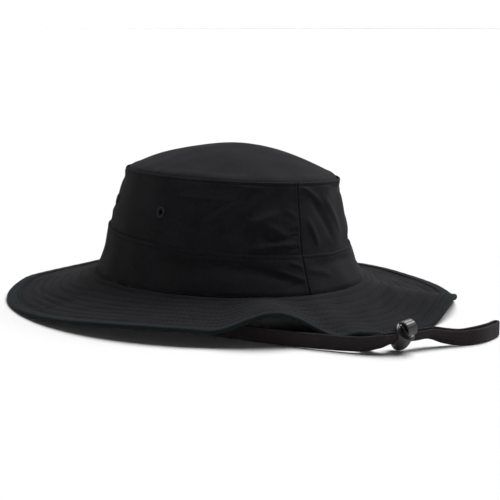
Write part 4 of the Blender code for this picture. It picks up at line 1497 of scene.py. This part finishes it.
def mould(o, name, rounds=6):
    """Fine remesh and smoothing, then into the lock's place."""
    o.name = o.data.name = name
    apply_modifier(o, "REMESH", mode="VOXEL", voxel_size=LOCK_VOXEL, use_smooth_shade=True)
    apply_modifier(o, "SMOOTH", factor=0.5, iterations=rounds)
    o.data.transform(LOCK_MATRIX)
    return o


# %% [markdown]
# The body is one moulding: a bulb, a thick rounded collar, the plunger's channel and the strap's slot.

# %% The lock's body
COLLAR_RADIUS = 4.7 * MM
COLLAR_WALL = 1.25 * MM
COLLAR_STRETCH = 1.12


def build_lock_body():
    far = 20 * MM
    body = add_bulge((LOCK_HALF_DEPTH, LOCK_HALF_WIDTH, LOCK_HALF_HEIGHT), BULB_MIDDLE, power=2.4)
    # the thick rounded collar that the thumb piece goes down to
    bpy.ops.mesh.primitive_torus_add(
        major_segments=64, minor_segments=20, major_radius=COLLAR_RADIUS, minor_radius=COLLAR_WALL,
        location=(0.0, 0.0, RIM - COLLAR_WALL),
    )
    collar = bpy.context.object
    collar.scale = (1.0, COLLAR_STRETCH, 1.0)
    bpy.ops.object.transform_apply(location=True, rotation=True, scale=True)
    combine(body, collar, "UNION")
    combine(body, add_block((-far, -far, RIM), (far, far, far)), "DIFFERENCE")
    room = PLUNGER_HALF_DEPTH + GAP
    side = LEG_OUTSIDE + GAP
    combine(body, add_block((-room, -side, CHANNEL_FLOOR), (room, side, far)), "DIFFERENCE")
    slot = (far, SLOT_HALF_WIDTH, SLOT_HALF_HEIGHT)
    combine(body, add_block([-c for c in slot], slot), "DIFFERENCE")
    bridge = (room + 0.6 * MM, SLOT_HALF_WIDTH - GAP)
    combine(body, add_block((-bridge[0], -bridge[1], SLOT_HALF_HEIGHT), (*bridge, RIM)), "UNION")
    mould(body, "cord_lock_bulb")
    return finish_mesh(
        body, PLASTIC, body="cord_lock", nodes=["cord_lock_body"], angle=50
    )


# %% [markdown]
# The thumb piece is an arched hood with a ribbed edge, on two legs joined by the foot that pinches
# the strap.

# %% The plunger with its hooded thumb piece
HOOD_WALL = 0.9 * MM
HOOD_TURN = 12.0
HOOD_TOP = 12.6 * MM
HOOD_LOW = RIM + 0.3 * MM + 1.8 * MM
HOOD_RIBS = 5


def build_plunger():
    far = 20 * MM
    radius = CAP_HALF_WIDTH
    turned = Matrix.Rotation(math.radians(HOOD_TURN), 3, "Z")
    axis = turned @ Vector((1, 0, 0))
    centre = Vector((0.0, 0.0, HOOD_TOP - radius))
    hood = add_round(radius, 2 * CAP_HALF_DEPTH, centre, axis)
    hollow = add_round(radius - HOOD_WALL, 2 * CAP_HALF_DEPTH, centre - axis * HOOD_WALL, axis)
    combine(hood, hollow, "DIFFERENCE")
    for k in range(HOOD_RIBS):
        turn = math.radians(20 + 70 * k / (HOOD_RIBS - 1))
        out = turned @ Vector((0.0, math.cos(turn), math.sin(turn)))
        rib = add_round(0.22 * MM, 2 * CAP_HALF_DEPTH, centre + out * radius, axis, vertices=12)
        combine(hood, rib, "UNION")
    combine(hood, add_block((-far, -far, -far), (far, far, HOOD_LOW)), "DIFFERENCE")
    floor = add_bulge((CAP_HALF_DEPTH, LEG_OUTSIDE + 0.5 * MM, 0.6 * MM), HOOD_LOW + 0.6 * MM)
    combine(hood, floor, "UNION")
    deep = PLUNGER_HALF_DEPTH
    for sign in (1, -1):
        inside, outside = sorted((sign * SLOT_HALF_WIDTH, sign * LEG_OUTSIDE))
        combine(hood, add_block((-deep, inside, FOOT_LOW), (deep, outside, CAP_LOW + 0.7 * MM)), "UNION")
    foot = add_block((-deep, -LEG_OUTSIDE, FOOT_LOW), (deep, LEG_OUTSIDE, FOOT_LOW + 0.9 * MM))
    combine(hood, foot, "UNION")
    mould(hood, "cord_lock_thumb_piece", rounds=4)
    return finish_mesh(
        hood, PLASTIC, body="plunger", nodes=["cord_lock_plunger"], angle=50
    )


build_lock_body()
build_plunger()

# %% [markdown]
# A coil of steel wire between the body's bridge and the thumb piece. Pressing the plunger squashes it.

# %% The spring
SPRING_RADIUS = 1.4 * MM
SPRING_WIRE = 0.18 * MM
SPRING_TURNS = 3.5


def build_spring():
    """A profile circle spun up in a helix with a Screw modifier."""
    deselect()
    low, high = RIM + 0.28 * MM, CAP_LOW - 0.35 * MM
    bpy.ops.mesh.primitive_circle_add(
        vertices=12, radius=SPRING_WIRE, fill_type="NGON", location=(SPRING_RADIUS, 0, low),
        rotation=(math.pi / 2, 0, 0),
    )
    o = bpy.context.object
    o.name = o.data.name = "cord_lock_coil_spring"
    bpy.ops.object.transform_apply(location=True, rotation=True, scale=True)
    apply_modifier(
        o, "SCREW", angle=2 * math.pi * SPRING_TURNS, screw_offset=high - low, steps=int(SPRING_TURNS * 32),
        render_steps=int(SPRING_TURNS * 32), use_merge_vertices=True, merge_threshold=0.00001,
    )
    bpy.ops.object.mode_set(mode="EDIT")
    bpy.ops.mesh.select_all(action="SELECT")
    bpy.ops.mesh.fill_holes(sides=12)
    bpy.ops.mesh.normals_make_consistent(inside=False)
    bpy.ops.object.mode_set(mode="OBJECT")
    o.data.transform(LOCK_MATRIX)
    finish_mesh(o, STEEL, body="cord_lock", nodes=["cord_lock_spring"], angle=60)
    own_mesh(o)


build_spring()

# %% [markdown]
# ## The table and the light
#
# A pale, plain table with a low white wall far away all round it. One broad, soft light comes from
# above, leaning to the hat's right side, and a dim room fills the shadows. Black cloth needs strong
# light, so the table comes out nearly white.

# %% Table, wall and light
WALL_RADIUS = 19.0
WALL_HEIGHT = 3.0
SKY_POWER = 5.6
SKY_SPREAD = 50.0
# the way to the middle of the light, from the hat
SKY_WAY = Vector((-0.52, -0.06, 1.0))
ROOM_LIGHT = 0.06
deselect()
bpy.ops.mesh.primitive_plane_add(size=1.0, location=(0.0, 0.0, 0.0))
table = bpy.context.object
table.name = "table_top"
bpy.ops.transform.resize(value=(40.0, 40.0, 1.0))
bpy.ops.object.transform_apply(location=True, rotation=True, scale=True)
pale, tree, shader = new_finish("pale_paper", Roughness=0.9)
where = add_node(tree, "ShaderNodeTexCoord").outputs["Object"]
paper = add_node(tree, "ShaderNodeTexNoise", {"Scale": 300.0, "Detail": 2.0}, {"Vector": where})
grain = paper.outputs["Fac"]
tree.links.new(mix_colours(tree, grain, "#c9c9c9", "#cdcdcd"), shader.inputs["Base Color"])
table.data.materials.append(pale)
table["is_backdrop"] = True


deselect()
bpy.ops.mesh.primitive_cylinder_add(
    vertices=96, radius=WALL_RADIUS, depth=WALL_HEIGHT, end_fill_type="NOTHING",
    location=(0.0, 0.0, WALL_HEIGHT / 2),
)
wall = bpy.context.object
wall.name = "white_wall"
bpy.ops.object.transform_apply(location=True, rotation=True, scale=True)
glow, tree, shader = new_finish("lit_white_wall", Roughness=1.0)
shader.inputs["Emission Color"].default_value = (1.0, 1.0, 1.0, 1.0)
shader.inputs["Emission Strength"].default_value = 1.0
wall.data.materials.append(glow)
wall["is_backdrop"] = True
sky = bpy.data.objects.new("soft_overhead_light", bpy.data.lights.new("soft_overhead_light", "SUN"))
bpy.context.scene.collection.objects.link(sky)
sky.data.energy = SKY_POWER
sky.data.angle = math.radians(SKY_SPREAD)
sky.rotation_mode = "QUATERNION"
sky.rotation_quaternion = (-SKY_WAY).to_track_quat("-Z", "Y")
room = bpy.data.worlds.new("room")
room.use_nodes = True
room.node_tree.nodes["Background"].inputs["Color"].default_value = (1.0, 1.0, 1.0, 1.0)
room.node_tree.nodes["Background"].inputs["Strength"].default_value = ROOM_LIGHT
bpy.context.scene.world = room
bpy.context.scene.view_settings.view_transform = "Standard"
print("lamps:", len(bpy.data.lights))

# %% [markdown]
# ## Last checks
#
# The cloth may stand a little outside the solids, and the two boxes below show how far it does.

# %% Sizes, and the end
box_low, box_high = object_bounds()
grown = [[round(c / MM, 1) for c in over] for over in (CAD_LOW - box_low, box_high - CAD_HIGH)]
print("grown by mm:", *grown)
